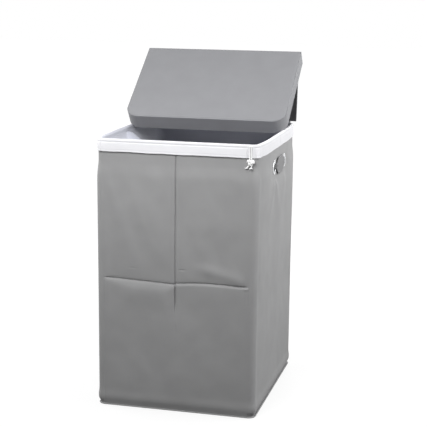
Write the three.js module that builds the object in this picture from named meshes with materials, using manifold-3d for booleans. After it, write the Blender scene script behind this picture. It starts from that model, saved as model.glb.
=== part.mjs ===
// Laundry hamper with two bins, in millimetres, +Z up, the front facing -Y.
// A fabric box stiffened by boards, a sewn divider, two white liner bags hung over the rim,
// a folding lid on a sewn flap, and a strap handle in metal eyelets on each side.
import * as THREE from 'three';
import { mergeVertices } from 'three/addons/utils/BufferGeometryUtils.js';
import Module from 'manifold-3d';

const wasm = await Module();
wasm.setup();

// Body
const bodyWidth = 381;
const bodyDepth = 434;
const bodyHeight = 650;
const bodyCornerRadius = 14;
const sideBow = 8;
const sideBowStartShare = 0.35;
const sideBowHandleMargin = 28;

// Wall layers, from the outside in
const coverCloth = 1.4;
const boardThickness = 2.5;
const liningCloth = 0.9;
const layerGap = 0.3;
const boardCornerRadius = 6;
const boardSideMargin = 3;
const boardFootMargin = 5;
const boardTopMargin = 2;

// Crossed folds of the front and back walls
const foldHeightShare = 0.488;
const foldGap = 14;
const foldDepth = 1.1;

// Bottom
const bottomCloth = 1.4;
const baseBoardThickness = 3;
const footPipingRadius = 1.5;
const footPipingLift = 0.8;

// Divider between the bins
const dividerDrop = 54;
const dividerBoardThickness = 2.5;
const dividerCloth = 0.9;
const dividerBoardMargin = 3;
const dividerBindingCloth = 0.8;
const dividerBindingDepth = 12;

// Liner bags and their hems
const linerCloth = 1;
const linerWallGap = 3;
const linerSideGap = 12;
const linerCornerRadius = 22;
const linerSewDepth = 12;
const linerSewGap = 0.9;
const linerSagDepth = 46;
const linerDividerDrop = 56;
const linerDividerRun = 34;
const hemCloth = 1.2;
const hemDepth = 30;
const hemInnerDepth = 25;
const hemArch = 4.4;
const hemMeetGap = 1;

// Drawstring of the front bag
const drawstringDiameter = 3;
const drawstringCornerDistance = 14.5;
const drawstringLegSpacing = 3.6;
const drawstringLegDiameter = 2.6;
const drawstringKnotDrop = 38;
const drawstringKnotWidth = 17;
const drawstringKnotHeight = 9;
const drawstringKnotThickness = 7;
const drawstringKnotFit = 0.3;
const drawstringTailSpread = 8;
const drawstringTailLength = 13;
const drawstringBend = 3;
const drawstringSlotFit = 0.8;

// Eyelets and strap handles
const handleDrop = 75;
const handleSpacing = 116;
const eyeletHoleRadius = 10;
const eyeletWall = 0.8;
const eyeletFlangeRadius = 17;
const eyeletFlangeRise = 2.2;
const eyeletFit = 0.3;
const washerRadius = 16;
const washerThickness = 1;
const strapWidth = 42;
const strapThickness = 2.4;
const strapNeckThickness = 4.8;
const strapNeckFit = 0.3;
const strapBulge = 7;
const strapBend = 5;
const strapGather = 24;
const strapShoulderShare = 0.75;
const strapTravel = 8;
const stopThickness = 6;
const stopWidth = 13;
const stopHeight = 26;
const stopRounding = 2;

// Lid
const lidFlapCloth = 1.4;
const lidFlapSideMargin = 7.5;
const lidSeamDrop = 43;
const lidSeamRadius = 1;
const lidPipingRadius = 1.6;
const lidPipingClearance = 0.4;
const lidRearLength = 178;
const lidRearSideMargin = 6;
const lidTopCloth = 1.1;
const lidBoardThickness = 3;
const lidUnderCloth = 0.8;
const lidSkirtCloth = 1.4;
const lidSkirtDepth = 40;
const lidSkirtClearance = 1.6;
const lidFrontClearance = 3.6;
const lidFrontCornerRadius = 45;
const lidPanelCornerRadius = 5;
const lidRearLean = 7;
const lidFrontSlope = 36.3;

// Facets
const arcSteps = 3;
const bowSteps = 3;
const frontSteps = 4;
const heightSteps = 6;
const roundSides = 20;
const cordSides = 8;
const strapSides = 10;
const strapSteps = 34;
const strandSteps = 16;
const knotSides = 12;
const bagLevelShares = [0, 0.3, 0.6, 0.84, 0.9, 0.94, 0.97, 1];
const bagCutShare = 1.01;

const halfWidth = bodyWidth / 2;
const halfDepth = bodyDepth / 2;
const wallStack = coverCloth + layerGap + boardThickness + layerGap + liningCloth;
const boardInset = coverCloth + layerGap;
const liningInset = boardInset + boardThickness + layerGap;
const wallFoot = bottomCloth + layerGap;
const hemSpringZ = bodyHeight - hemArch;
const wallTop = bodyHeight - hemCloth - layerGap - drawstringDiameter - layerGap;
const bowedX = halfWidth + sideBow;
const drawstringExitX = halfWidth - drawstringCornerDistance;
const foldHeight = bodyHeight * foldHeightShare;
const dividerHeight = bodyHeight - dividerDrop;
const handleHeight = bodyHeight - handleDrop;
const sideBowStart = bodyHeight * sideBowStartShare;
const sideBowEnd = handleHeight - eyeletFlangeRadius - sideBowHandleMargin;
const sideBowFlat = handleSpacing / 2 + eyeletFlangeRadius + sideBowHandleMargin;
const straightX = halfWidth - bodyCornerRadius;
const straightY = halfDepth - bodyCornerRadius;
const strapNeckWidth = 2 * (eyeletHoleRadius - strapNeckFit);
const binFloor = bottomCloth + layerGap + baseBoardThickness;
const cordHeight = wallTop + layerGap + drawstringDiameter / 2;
const hemFaceY = -halfDepth - layerGap - hemCloth;
const strandStartY = wallStack / 2 - halfDepth - drawstringDiameter / 2 - layerGap;
const legY = hemFaceY - layerGap - drawstringLegDiameter / 2;
const knotY = -halfDepth - layerGap - drawstringKnotThickness / 2;
const knotZ = bodyHeight - drawstringKnotDrop;

const bodyGrey = new THREE.Color(0x8c8c8e);
const lidGrey = new THREE.Color(0x9c9da0);
const liningGrey = new THREE.Color(0x6f7073);
const linerWhite = new THREE.Color(0xf2f2f4);
const boardBrown = new THREE.Color(0xa58a66);
const metalGrey = new THREE.Color(0xc9ccd0);

function cloth(colour) {
  return new THREE.MeshStandardMaterial({ color: colour, roughness: 0.9, metalness: 0 });
}

function card() {
  return new THREE.MeshStandardMaterial({ color: boardBrown, roughness: 0.8, metalness: 0 });
}

function metal() {
  return new THREE.MeshStandardMaterial({ color: metalGrey, roughness: 0.2, metalness: 1 });
}

function piece(name, geometry, material) {
  const mesh = new THREE.Mesh(geometry, material);
  mesh.name = name;
  return mesh;
}

function signedVolume(positions, index) {
  const corners = [new THREE.Vector3(), new THREE.Vector3(), new THREE.Vector3()];
  let volume = 0;
  for (let i = 0; i < index.length; i += 3) {
    corners.forEach((corner, k) => corner.fromArray(positions, index[i + k] * 3));
    volume += corners[0].dot(corners[1].clone().cross(corners[2]));
  }
  return volume;
}

// A closed geometry whose faces point outwards, from points and triangles that all turn one way
function closedGeometry(points, index) {
  const positions = points.flatMap((point) => [point.x, point.y, point.z]);
  if (signedVolume(positions, index) < 0) {
    index.reverse();
  }
  const geometry = new THREE.BufferGeometry();
  geometry.setAttribute('position', new THREE.Float32BufferAttribute(positions, 3));
  geometry.setIndex(index);
  geometry.computeVertexNormals();
  return geometry;
}

// A sheet of cloth or board: each row has an outer and an inner line with the same number of points
function sheet(rows) {
  const lineLength = rows[0].outer.length;
  const points = [];
  rows.forEach((row) => points.push(...row.outer, ...row.inner));
  const outer = (row, k) => row * 2 * lineLength + k;
  const inner = (row, k) => outer(row, k) + lineLength;
  const index = [];
  const quad = (a, b, c, d) => index.push(a, b, c, a, c, d);
  const lastRow = rows.length - 1;
  const last = lineLength - 1;
  for (let row = 0; row < lastRow; row++) {
    for (let k = 0; k < last; k++) {
      quad(outer(row, k), outer(row + 1, k), outer(row + 1, k + 1), outer(row, k + 1));
      quad(inner(row, k), inner(row, k + 1), inner(row + 1, k + 1), inner(row + 1, k));
    }
    quad(outer(row, 0), inner(row, 0), inner(row + 1, 0), outer(row + 1, 0));
    quad(outer(row, last), outer(row + 1, last), inner(row + 1, last), inner(row, last));
  }
  for (let k = 0; k < last; k++) {
    quad(outer(0, k), outer(0, k + 1), inner(0, k + 1), inner(0, k));
    quad(outer(lastRow, k), inner(lastRow, k), inner(lastRow, k + 1), outer(lastRow, k + 1));
  }
  return closedGeometry(points, index);
}

// A solid through closed sections with the same number of points, capped at both ends or a ring
function loft(sections, ring = false) {
  const count = sections[0].length;
  const points = sections.flat();
  const index = [];
  const steps = ring ? sections.length : sections.length - 1;
  for (let step = 0; step < steps; step++) {
    const here = step * count;
    const next = ((step + 1) % sections.length) * count;
    for (let k = 0; k < count; k++) {
      const k2 = (k + 1) % count;
      index.push(here + k, next + k, next + k2, here + k, next + k2, here + k2);
    }
  }
  if (!ring) {
    const centre = (section) =>
      section.reduce((sum, point) => sum.add(point), new THREE.Vector3()).divideScalar(count);
    const first = points.push(centre(sections[0])) - 1;
    const end = points.push(centre(sections[sections.length - 1])) - 1;
    const lastStart = (sections.length - 1) * count;
    for (let k = 0; k < count; k++) {
      const k2 = (k + 1) % count;
      index.push(first, k, k2, end, lastStart + k2, lastStart + k);
    }
  }
  return closedGeometry(points, index);
}

function toSolid(geometry) {
  const bare = geometry.clone();
  bare.deleteAttribute('normal');
  bare.deleteAttribute('uv');
  const merged = mergeVertices(bare);
  return new wasm.Manifold(
    new wasm.Mesh({
      numProp: 3,
      vertProperties: new Float32Array(merged.attributes.position.array),
      triVerts: new Uint32Array(merged.index.array),
    }),
  );
}

function fromSolid(solid) {
  const mesh = solid.getMesh();
  const geometry = new THREE.BufferGeometry();
  geometry.setAttribute('position', new THREE.Float32BufferAttribute(mesh.vertProperties, 3));
  geometry.setIndex(Array.from(mesh.triVerts));
  geometry.computeVertexNormals();
  return geometry;
}

function cutAll(geometry, cutters) {
  return fromSolid(cutters.reduce((solid, cutter) => solid.subtract(toSolid(cutter)), toSolid(geometry)));
}

function span(from, to, steps) {
  return Array.from({ length: steps + 1 }, (_, i) => from + ((to - from) * i) / steps);
}

function smooth(value) {
  const clamped = Math.min(Math.max(value, 0), 1);
  return clamped * clamped * (3 - 2 * clamped);
}

// How far a side wall stands out at depth y and height z
function bow(y, z) {
  const beyond = Math.max(0, Math.abs(y) - sideBowFlat) / (halfDepth - sideBowFlat);
  return sideBow * (1 - beyond * beyond) * smooth((z - sideBowStart) / (sideBowEnd - sideBowStart));
}

// A station is a place on the body's outline in plan, with the direction that points outwards there
function straightStation(y) {
  return { x: halfWidth, y, nx: 1, ny: 0 };
}

function cornerStation(angle, ySign) {
  const nx = Math.cos(angle);
  const ny = ySign * Math.sin(angle);
  return { x: straightX + bodyCornerRadius * nx, y: ySign * straightY + bodyCornerRadius * ny, nx, ny };
}

function wallPoint(station, z, inset) {
  const stand = bow(station.y, z) * Math.abs(station.nx);
  const side = Math.sign(station.nx) || 1;
  return new THREE.Vector3(
    station.x + side * stand - station.nx * inset,
    station.y - station.ny * inset,
    z,
  );
}

function mirrored(station) {
  return { x: -station.x, y: station.y, nx: -station.nx, ny: station.ny };
}

const quarterTurn = Math.PI / 2;

// Places along half of a side: flat past the handle, then closer together where the wall curves in
function halfSide(endY) {
  return [...span(sideBowFlat, straightY, bowSteps).slice(0, -1), endY];
}

function fullSide(endY) {
  return [...halfSide(endY).map((y) => -y).reverse(), ...halfSide(endY)];
}

const sideStations = [
  ...span(quarterTurn, 0, arcSteps).map((angle) => cornerStation(angle, -1)),
  ...fullSide(straightY).slice(1, -1).map(straightStation),
  ...span(0, quarterTurn, arcSteps).map((angle) => cornerStation(angle, 1)),
];

function wallSheet(stations, zLevels, inset, thickness) {
  return sheet(
    stations.map((station) => ({
      outer: zLevels.map((z) => wallPoint(station, z, inset)),
      inner: zLevels.map((z) => wallPoint(station, z, inset + thickness)),
    })),
  );
}

const wallLevels = [...span(wallFoot, sideBowEnd, heightSteps), wallTop];

// Cutters for the two eyelets of a side wall, along X
function eyeletCutters(side) {
  return [-1, 1].map((end) => {
    const radius = eyeletHoleRadius + eyeletWall + eyeletFit;
    const cutter = new THREE.CylinderGeometry(radius, radius, wallStack + 2 * wallStack, roundSides);
    cutter.rotateZ(quarterTurn);
    cutter.translate(side * bowedX, (end * handleSpacing) / 2, handleHeight);
    return cutter;
  });
}

function sideWall(side, sideName) {
  const turn = (stations) => (side > 0 ? stations : stations.map(mirrored));
  const cutters = eyeletCutters(side);
  const boardY = straightY - boardSideMargin;
  const boardStations = fullSide(boardY).map(straightStation);
  const boardLevels = [wallFoot + boardFootMargin, ...wallLevels.slice(1, -1), wallTop - boardTopMargin];
  return [
    piece(
      `${sideName}_side_cover`,
      cutAll(wallSheet(turn(sideStations), wallLevels, 0, coverCloth), cutters),
      cloth(bodyGrey),
    ),
    piece(
      `${sideName}_side_board`,
      cutAll(wallSheet(turn(boardStations), boardLevels, boardInset, boardThickness), cutters),
      card(),
    ),
    piece(
      `${sideName}_side_lining`,
      cutAll(wallSheet(turn(sideStations), wallLevels, liningInset, liningCloth), cutters),
      cloth(liningGrey),
    ),
  ];
}

// Front and back walls: flat cover with crossed folds pressed in between four boards
function endCover(ySign) {
  const half = straightX - layerGap;
  const xLines = [-half, -half / 2, -foldGap / 2, 0, foldGap / 2, half / 2, half];
  const upperMiddle = (foldHeight + wallTop) / 2;
  const zLines = [
    wallFoot,
    foldHeight / 2,
    foldHeight - foldGap / 2,
    foldHeight,
    foldHeight + foldGap / 2,
    upperMiddle,
    wallTop,
  ];
  const pressed = (x, z) => (x === 0 || z === foldHeight ? foldDepth : 0);
  const at = (x, z, inset) => new THREE.Vector3(x, ySign * (halfDepth - inset - pressed(x, z)), z);
  return sheet(
    xLines.map((x) => ({
      outer: zLines.map((z) => at(x, z, 0)),
      inner: zLines.map((z) => at(x, z, coverCloth)),
    })),
  );
}

function roundedRectangle(width, height, radius) {
  const x = width / 2;
  const y = height / 2;
  const shape = new THREE.Shape();
  shape.moveTo(x, y - radius);
  shape.absarc(x - radius, y - radius, radius, 0, quarterTurn);
  shape.absarc(-x + radius, y - radius, radius, quarterTurn, 2 * quarterTurn);
  shape.absarc(-x + radius, -y + radius, radius, 2 * quarterTurn, 3 * quarterTurn);
  shape.absarc(x - radius, -y + radius, radius, 3 * quarterTurn, 4 * quarterTurn);
  return shape;
}

function plate(shape, thickness) {
  return new THREE.ExtrudeGeometry(shape, { depth: thickness, bevelEnabled: false, curveSegments: arcSteps });
}

function endWall(ySign, endName) {
  const pieces = [piece(`${endName}_cover`, endCover(ySign), cloth(bodyGrey))];
  const boardFoot = wallFoot + boardFootMargin;
  const boardTop = wallTop - boardTopMargin;
  const boardWidth = straightX - boardSideMargin - foldGap / 2;
  const spans = {
    lower: [boardFoot, foldHeight - foldGap / 2],
    upper: [foldHeight + foldGap / 2, boardTop],
  };
  for (const [level, [low, high]] of Object.entries(spans)) {
    for (const [sideName, side] of [['left', -1], ['right', 1]]) {
      const board = plate(roundedRectangle(boardWidth, high - low, boardCornerRadius), boardThickness);
      board.rotateX(quarterTurn);
      const face = ySign * (halfDepth - boardInset);
      board.translate(side * (foldGap / 2 + boardWidth / 2), ySign > 0 ? face : face + boardThickness,
        (low + high) / 2);
      pieces.push(piece(`${endName}_board_${level}_${sideName}`, board, card()));
    }
  }
  const half = straightX - layerGap;
  const liningAt = (x, z, inset) => new THREE.Vector3(x, ySign * (halfDepth - inset), z);
  const lining = sheet(
    [-half, 0, half].map((x) => ({
      outer: [wallFoot, foldHeight, wallTop].map((z) => liningAt(x, z, liningInset)),
      inner: [wallFoot, foldHeight, wallTop].map((z) => liningAt(x, z, wallStack)),
    })),
  );
  pieces.push(piece(`${endName}_lining`, lining, cloth(liningGrey)));
  return pieces;
}

// Bottom cloth, the loose base board on it and the welt round the foot
function bottom() {
  const cover = plate(roundedRectangle(bodyWidth, bodyDepth, bodyCornerRadius), bottomCloth);
  const boardInsetAll = wallStack + layerGap;
  const boardWidth = bodyWidth - 2 * boardInsetAll;
  const boardDepth = bodyDepth - 2 * boardInsetAll;
  const boardShape = roundedRectangle(boardWidth, boardDepth, bodyCornerRadius - wallStack);
  const board = plate(boardShape, baseBoardThickness);
  board.translate(0, 0, bottomCloth + layerGap);
  const pipingZ = footPipingLift + footPipingRadius;
  const pipingOut = layerGap + footPipingRadius;
  const quarter = [
    ...span(0, quarterTurn, arcSteps).map((angle) => cornerStation(angle, 1)),
  ];
  const plan = [
    ...quarter,
    ...quarter.map(mirrored).reverse(),
    ...quarter.map((s) => ({ x: -s.x, y: -s.y, nx: -s.nx, ny: -s.ny })),
    ...quarter.map((s) => ({ x: s.x, y: -s.y, nx: s.nx, ny: -s.ny })).reverse(),
  ];
  const rings = plan.map((station) =>
    span(0, 4 * quarterTurn, cordSides).slice(0, -1).map((angle) => {
      const out = pipingOut + footPipingRadius * Math.cos(angle);
      return new THREE.Vector3(
        station.x + station.nx * out,
        station.y + station.ny * out,
        pipingZ + footPipingRadius * Math.sin(angle),
      );
    }),
  );
  return [
    piece('bottom_cover', cover, cloth(bodyGrey)),
    piece('base_board', board, card()),
    piece('foot_piping', loft(rings, true), cloth(bodyGrey)),
  ];
}

// Divider: a board between two cloths with a bound top edge, its sides following the side walls
function dividerPlate(inset, foot, top, thickness, y) {
  const levels = [foot, ...wallLevels.filter((z) => z > foot && z < top), top];
  const edge = levels.map((z) => new THREE.Vector2(bowedInnerX(z) - inset, z));
  const shape = new THREE.Shape([...edge, ...edge.map((p) => new THREE.Vector2(-p.x, p.y)).reverse()]);
  const geometry = plate(shape, thickness);
  geometry.rotateX(quarterTurn);
  geometry.translate(0, y + thickness, 0);
  return geometry;
}

function bowedInnerX(z) {
  return halfWidth + bow(0, z) - wallStack - layerGap;
}

function divider() {
  const foot = binFloor + layerGap;
  const boardY = dividerBoardThickness / 2;
  const clothY = boardY + layerGap;
  const bindingInner = clothY + dividerCloth + layerGap;
  const bindingOuter = bindingInner + dividerBindingCloth;
  const bindingTop = dividerHeight + layerGap;
  const line = (y, roof) => [
    [-y, dividerHeight - dividerBindingDepth],
    [-y, bindingTop + roof],
    [y, bindingTop + roof],
    [y, dividerHeight - dividerBindingDepth],
  ];
  const bindingX = bowedInnerX(dividerHeight);
  const binding = sheet(
    [-bindingX, bindingX].map((x) => ({
      outer: line(bindingOuter, dividerBindingCloth).map(([y, z]) => new THREE.Vector3(x, y, z)),
      inner: line(bindingInner, 0).map(([y, z]) => new THREE.Vector3(x, y, z)),
    })),
  );
  const board = dividerPlate(dividerBoardMargin, foot, dividerHeight, dividerBoardThickness, -boardY);
  const frontCloth = dividerPlate(0, foot, dividerHeight, dividerCloth, -clothY - dividerCloth);
  const rearCloth = dividerPlate(0, foot, dividerHeight, dividerCloth, clothY);
  return [
    piece('divider_board', board, card()),
    piece('divider_front_cloth', frontCloth, cloth(liningGrey)),
    piece('divider_rear_cloth', rearCloth, cloth(liningGrey)),
    piece('divider_top_binding', binding, cloth(liningGrey)),
  ];
}

const dividerReach = dividerBoardThickness / 2 + layerGap + dividerCloth + layerGap + dividerBindingCloth;

// Stations round one bag's half of the rim, from mid-depth on the right, round the end, to the left
function rimStations(ySign) {
  const straight = [hemMeetGap / 2, ...halfSide(straightY).slice(0, -1)];
  const right = [
    ...straight.map((y) => straightStation(ySign * y)),
    ...span(0, quarterTurn, arcSteps).map((angle) => cornerStation(angle, ySign)),
  ];
  const across = span(straightX, -straightX, frontSteps)
    .slice(1, -1)
    .map((x) => ({ x, y: ySign * halfDepth, nx: 0, ny: ySign }));
  return [...right, ...across, ...right.map(mirrored).reverse()];
}

function hem(ySign) {
  const middle = -wallStack / 2;
  const outerReach = wallStack / 2 + layerGap + hemCloth;
  const arch = span(0, 2 * quarterTurn, 2 * arcSteps);
  const line = (reach, rise) => [
    [middle + reach, bodyHeight - hemDepth],
    ...arch.map((angle) => [middle + reach * Math.cos(angle), hemSpringZ + rise * Math.sin(angle)]),
    [middle - reach, bodyHeight - hemInnerDepth],
  ];
  const outerLine = line(outerReach, hemArch);
  const innerLine = line(outerReach - hemCloth, hemArch - hemCloth);
  return sheet(
    rimStations(ySign).map((station) => ({
      outer: outerLine.map(([out, z]) => wallPoint(station, z, -out)),
      inner: innerLine.map(([out, z]) => wallPoint(station, z, -out)),
    })),
  );
}

// One level of a bag: a rounded rectangle, drawn out to the hem near its top on three sides
function bagLoop(ySign, share, skin) {
  const inside = wallStack + skin;
  const sewnInset = layerGap + hemCloth + linerSewGap;
  const hangX = halfWidth - inside - linerSideGap;
  const sewnX = halfWidth - inside - sewnInset;
  const hangY = halfDepth - inside - linerWallGap;
  const sewnY = halfDepth - inside - sewnInset;
  const nearY = dividerReach + layerGap + skin;
  const foot = binFloor + layerGap + skin;
  const top = bodyHeight - linerSewDepth;
  const turnX = hangX - linerCornerRadius;
  const nearTurnY = nearY + linerCornerRadius;
  const farTurnY = hangY - linerCornerRadius;
  const corner = (y, from, to) =>
    span(from, to, arcSteps).map((angle) => [
      turnX + linerCornerRadius * Math.cos(angle),
      y + linerCornerRadius * Math.sin(angle),
    ]);
  const half = [
    [0, nearY],
    ...corner(nearTurnY, -quarterTurn, 0),
    ...span(nearTurnY, farTurnY, frontSteps).slice(1, -1).map((y) => [hangX, y]),
    ...corner(farTurnY, 0, quarterTurn),
    [turnX / 2, hangY],
    [0, hangY],
  ];
  const plan = [...half, ...half.slice(1, -1).map(([x, y]) => [-x, y]).reverse()];
  return plan.map(([x, y]) => {
    const drop = linerDividerDrop * (1 - smooth((y - nearY) / linerDividerRun));
    const z = foot + (top - drop - foot) * share;
    const drawn = smooth((z - (top - linerSagDepth)) / linerSagDepth);
    const outX = (sewnX - hangX + bow(y, z)) * drawn;
    const outY = (sewnY - hangY) * drawn;
    const farShare = Math.max(0, y - nearTurnY) / (hangY - nearTurnY);
    return new THREE.Vector3(x + (outX * x) / hangX, ySign * (y + outY * farShare), z);
  });
}

function linerBag(ySign) {
  const outer = loft(bagLevelShares.map((share) => bagLoop(ySign, share, 0)));
  const inner = loft([...bagLevelShares, bagCutShare].map((share) => bagLoop(ySign, share, linerCloth)));
  return cutAll(outer, [inner]);
}

// The drawstring lies on the wall top inside the front hem; its ends come out through a slot
function circleSection(radius) {
  return span(0, 4 * quarterTurn, cordSides)
    .slice(0, -1)
    .map((angle) => new THREE.Vector2(radius * Math.cos(angle), radius * Math.sin(angle)));
}

function drawstring() {
  const radius = drawstringDiameter / 2;
  return loft(
    rimStations(-1).map((station) =>
      circleSection(radius).map((point) => wallPoint(station, cordHeight + point.y, wallStack / 2 - point.x)),
    ),
  );
}

function frontHem() {
  const width = drawstringLegSpacing + drawstringLegDiameter + 2 * drawstringSlotFit;
  const height = drawstringLegDiameter + 2 * drawstringSlotFit;
  const depth = wallStack;
  const slot = new THREE.BoxGeometry(width, depth, height);
  slot.translate(drawstringExitX, strandStartY - depth / 2, cordHeight);
  return cutAll(hem(-1), [slot]);
}

function strandRoute(side) {
  const radius = drawstringLegDiameter / 2;
  const legX = drawstringExitX + (side * drawstringLegSpacing) / 2;
  const tailZ = knotZ - drawstringKnotHeight / 2 - drawstringTailLength;
  const tailX = drawstringExitX + (side * drawstringTailSpread) / 2;
  return new THREE.CatmullRomCurve3([
    new THREE.Vector3(legX, strandStartY, cordHeight),
    new THREE.Vector3(legX, legY + radius, cordHeight),
    new THREE.Vector3(legX, legY, cordHeight - drawstringBend),
    new THREE.Vector3(legX, legY, (cordHeight + knotZ) / 2),
    new THREE.Vector3(legX, knotY, knotZ),
    new THREE.Vector3(tailX, knotY, (knotZ + tailZ) / 2),
    new THREE.Vector3(drawstringExitX + side * drawstringTailSpread, knotY, tailZ),
  ]);
}

function strand(side, radius) {
  return new THREE.ExtrudeGeometry(new THREE.Shape(circleSection(radius)), {
    steps: strandSteps,
    extrudePath: strandRoute(side),
    bevelEnabled: false,
  });
}

function drawstringKnot() {
  const lump = new THREE.SphereGeometry(1, knotSides, knotSides / 2);
  lump.scale(drawstringKnotWidth / 2, drawstringKnotThickness / 2, drawstringKnotHeight / 2);
  lump.translate(drawstringExitX, knotY, knotZ);
  const channel = drawstringLegDiameter / 2 + drawstringKnotFit;
  return cutAll(lump, [strand(-1, channel), strand(1, channel)]);
}

// Eyelet: a rolled flange outside and a barrel through the wall; its washer lies on the lining
function eyelet(side, end) {
  const barrel = eyeletHoleRadius + eyeletWall;
  const depth = wallStack + layerGap + washerThickness;
  const rolled = span(0, 2 * quarterTurn, 2 * arcSteps).map((angle) => {
    const middle = (eyeletHoleRadius + eyeletFlangeRadius) / 2;
    const reach = (eyeletFlangeRadius - eyeletHoleRadius) / 2;
    return new THREE.Vector2(middle - reach * Math.cos(angle), layerGap + eyeletFlangeRise * Math.sin(angle));
  });
  const profile = [
    new THREE.Vector2(eyeletHoleRadius, -depth),
    ...rolled,
    new THREE.Vector2(barrel, layerGap),
    new THREE.Vector2(barrel, -depth),
    new THREE.Vector2(eyeletHoleRadius, -depth),
  ];
  return standOnWall(profile, side, end);
}

function washer(side, end) {
  const inner = eyeletHoleRadius + eyeletWall + eyeletFit;
  const near = -wallStack - layerGap;
  const far = near - washerThickness;
  const profile = [
    new THREE.Vector2(inner, near),
    new THREE.Vector2(inner, far),
    new THREE.Vector2(washerRadius, far),
    new THREE.Vector2(washerRadius, near),
    new THREE.Vector2(inner, near),
  ];
  return standOnWall(profile, side, end);
}

// Turns a lathed profile, closed and made along +Y, to point out of a side wall at an eyelet
function standOnWall(profile, side, end) {
  const lathe = new THREE.LatheGeometry(profile, roundSides);
  lathe.deleteAttribute('normal');
  lathe.deleteAttribute('uv');
  lathe.rotateZ(-side * quarterTurn);
  lathe.translate(side * bowedX, (end * handleSpacing) / 2, handleHeight);
  const merged = mergeVertices(lathe);
  const places = merged.attributes.position;
  const points = Array.from({ length: places.count }, (_, i) =>
    new THREE.Vector3().fromBufferAttribute(places, i),
  );
  const index = [];
  for (let i = 0; i < merged.index.count; i += 3) {
    const [a, b, c] = [0, 1, 2].map((k) => merged.index.getX(i + k));
    if (a !== b && b !== c && c !== a) {
      index.push(a, b, c);
    }
  }
  return closedGeometry(points, index);
}

// Strap handle: gathered to a neck in each eyelet, flat and close to the wall between them
function strap(side) {
  const stopFace = -wallStack - layerGap - washerThickness - layerGap - strapTravel;
  const endY = handleSpacing / 2;
  const half = [
    [stopFace, endY],
    [0, endY],
    [strapBulge - strapBend, endY],
    [strapBulge - strapBend * (1 - strapShoulderShare), endY - strapBend * strapShoulderShare],
    [strapBulge, endY - 2 * strapBend],
  ];
  const route = [...half, [strapBulge, 0], ...half.map(([out, y]) => [out, -y]).reverse()];
  const curve = new THREE.CatmullRomCurve3(
    route.map(([out, y]) => new THREE.Vector3(side * (bowedX + out), y, handleHeight)),
  );
  const sections = span(0, 1, strapSteps).map((share) => {
    const centre = curve.getPointAt(share);
    const across = new THREE.Vector3(0, 0, 1).cross(curve.getTangentAt(share)).normalize();
    const flat = smooth((endY - Math.abs(centre.y)) / strapGather);
    const width = strapNeckWidth + (strapWidth - strapNeckWidth) * flat;
    const thickness = strapNeckThickness + (strapThickness - strapNeckThickness) * flat;
    return span(0, 4 * quarterTurn, strapSides).slice(0, -1).map((angle) => {
      const rounding = (value) => Math.sign(value) * Math.sqrt(Math.abs(value));
      return centre
        .clone()
        .addScaledVector(across, (thickness / 2) * rounding(Math.cos(angle)))
        .add(new THREE.Vector3(0, 0, (width / 2) * rounding(Math.sin(angle))));
    });
  });
  return loft(sections);
}

function strapStop(side, end) {
  const stop = new THREE.ExtrudeGeometry(roundedRectangle(stopWidth, stopHeight, stopRounding), {
    depth: stopThickness,
    bevelEnabled: false,
    curveSegments: arcSteps,
  });
  stop.rotateX(quarterTurn);
  stop.rotateZ(quarterTurn);
  const face = wallStack + layerGap + washerThickness + layerGap + strapTravel + layerGap;
  const inner = bowedX - face - stopThickness;
  stop.translate(side > 0 ? inner : -inner - stopThickness, (end * handleSpacing) / 2, handleHeight);
  return stop;
}

function handle(side, sideName) {
  const pieces = [piece(`${sideName}_handle_strap`, strap(side), cloth(bodyGrey))];
  for (const [endName, end] of [['front', -1], ['rear', 1]]) {
    pieces.push(piece(`${sideName}_${endName}_eyelet`, eyelet(side, end), metal()));
    pieces.push(piece(`${sideName}_${endName}_washer`, washer(side, end), metal()));
    pieces.push(piece(`${sideName}_${endName}_strap_stop`, strapStop(side, end), cloth(bodyGrey)));
  }
  return pieces;
}

// Lid. Each part is made lying closed, in a frame whose origin is its own hinge line.
const lidThickness = lidUnderCloth + layerGap + lidBoardThickness + layerGap + lidTopCloth;
const lidInnerHalf = bowedX + layerGap + hemCloth + lidSkirtClearance;
const lidHalfWidth = lidInnerHalf + lidSkirtCloth;
const lidRearWidth = 2 * (lidHalfWidth - lidRearSideMargin);
const lidFlapWidth = bodyWidth - 2 * lidFlapSideMargin;
const flapInnerY = halfDepth + layerGap + hemCloth + layerGap;
const lidHingeY = flapInnerY + lidFlapCloth / 2;
const lidHingeZ = bodyHeight + lidPipingClearance + lidPipingRadius;
const lidFrontEdgeY = -halfDepth - layerGap - hemCloth - lidFrontClearance - lidSkirtCloth;
const lidFrontLength = lidHingeY - lidFrontEdgeY - lidRearLength;
const lidEndGap = lidPipingRadius + layerGap;
const seamY = halfDepth + layerGap + lidSeamRadius;
const seamZ = bodyHeight - lidSeamDrop;

function rod(radius, length) {
  const geometry = new THREE.CylinderGeometry(radius, radius, length, cordSides * 2);
  geometry.rotateZ(quarterTurn);
  return geometry;
}

function lidFlap() {
  const foot = lidSeamRadius + lidPipingClearance;
  const top = lidHingeZ - lidPipingRadius - layerGap - seamZ;
  const half = lidFlapWidth / 2;
  const at = (x, z, y) => new THREE.Vector3(x, y, z);
  const inner = flapInnerY - seamY;
  return sheet(
    [-half, half].map((x) => ({
      outer: [foot, top].map((z) => at(x, z, inner + lidFlapCloth)),
      inner: [foot, top].map((z) => at(x, z, inner)),
    })),
  );
}

// Rear panel layers, a plain rectangle between the hinge line and the fold
function rearLayer(thickness, lift, inset) {
  const length = lidRearLength - 2 * lidEndGap - 2 * inset;
  const layer = plate(roundedRectangle(lidRearWidth - 2 * inset, length, lidPanelCornerRadius), thickness);
  layer.translate(0, -lidRearLength / 2, lift);
  return layer;
}

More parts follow.
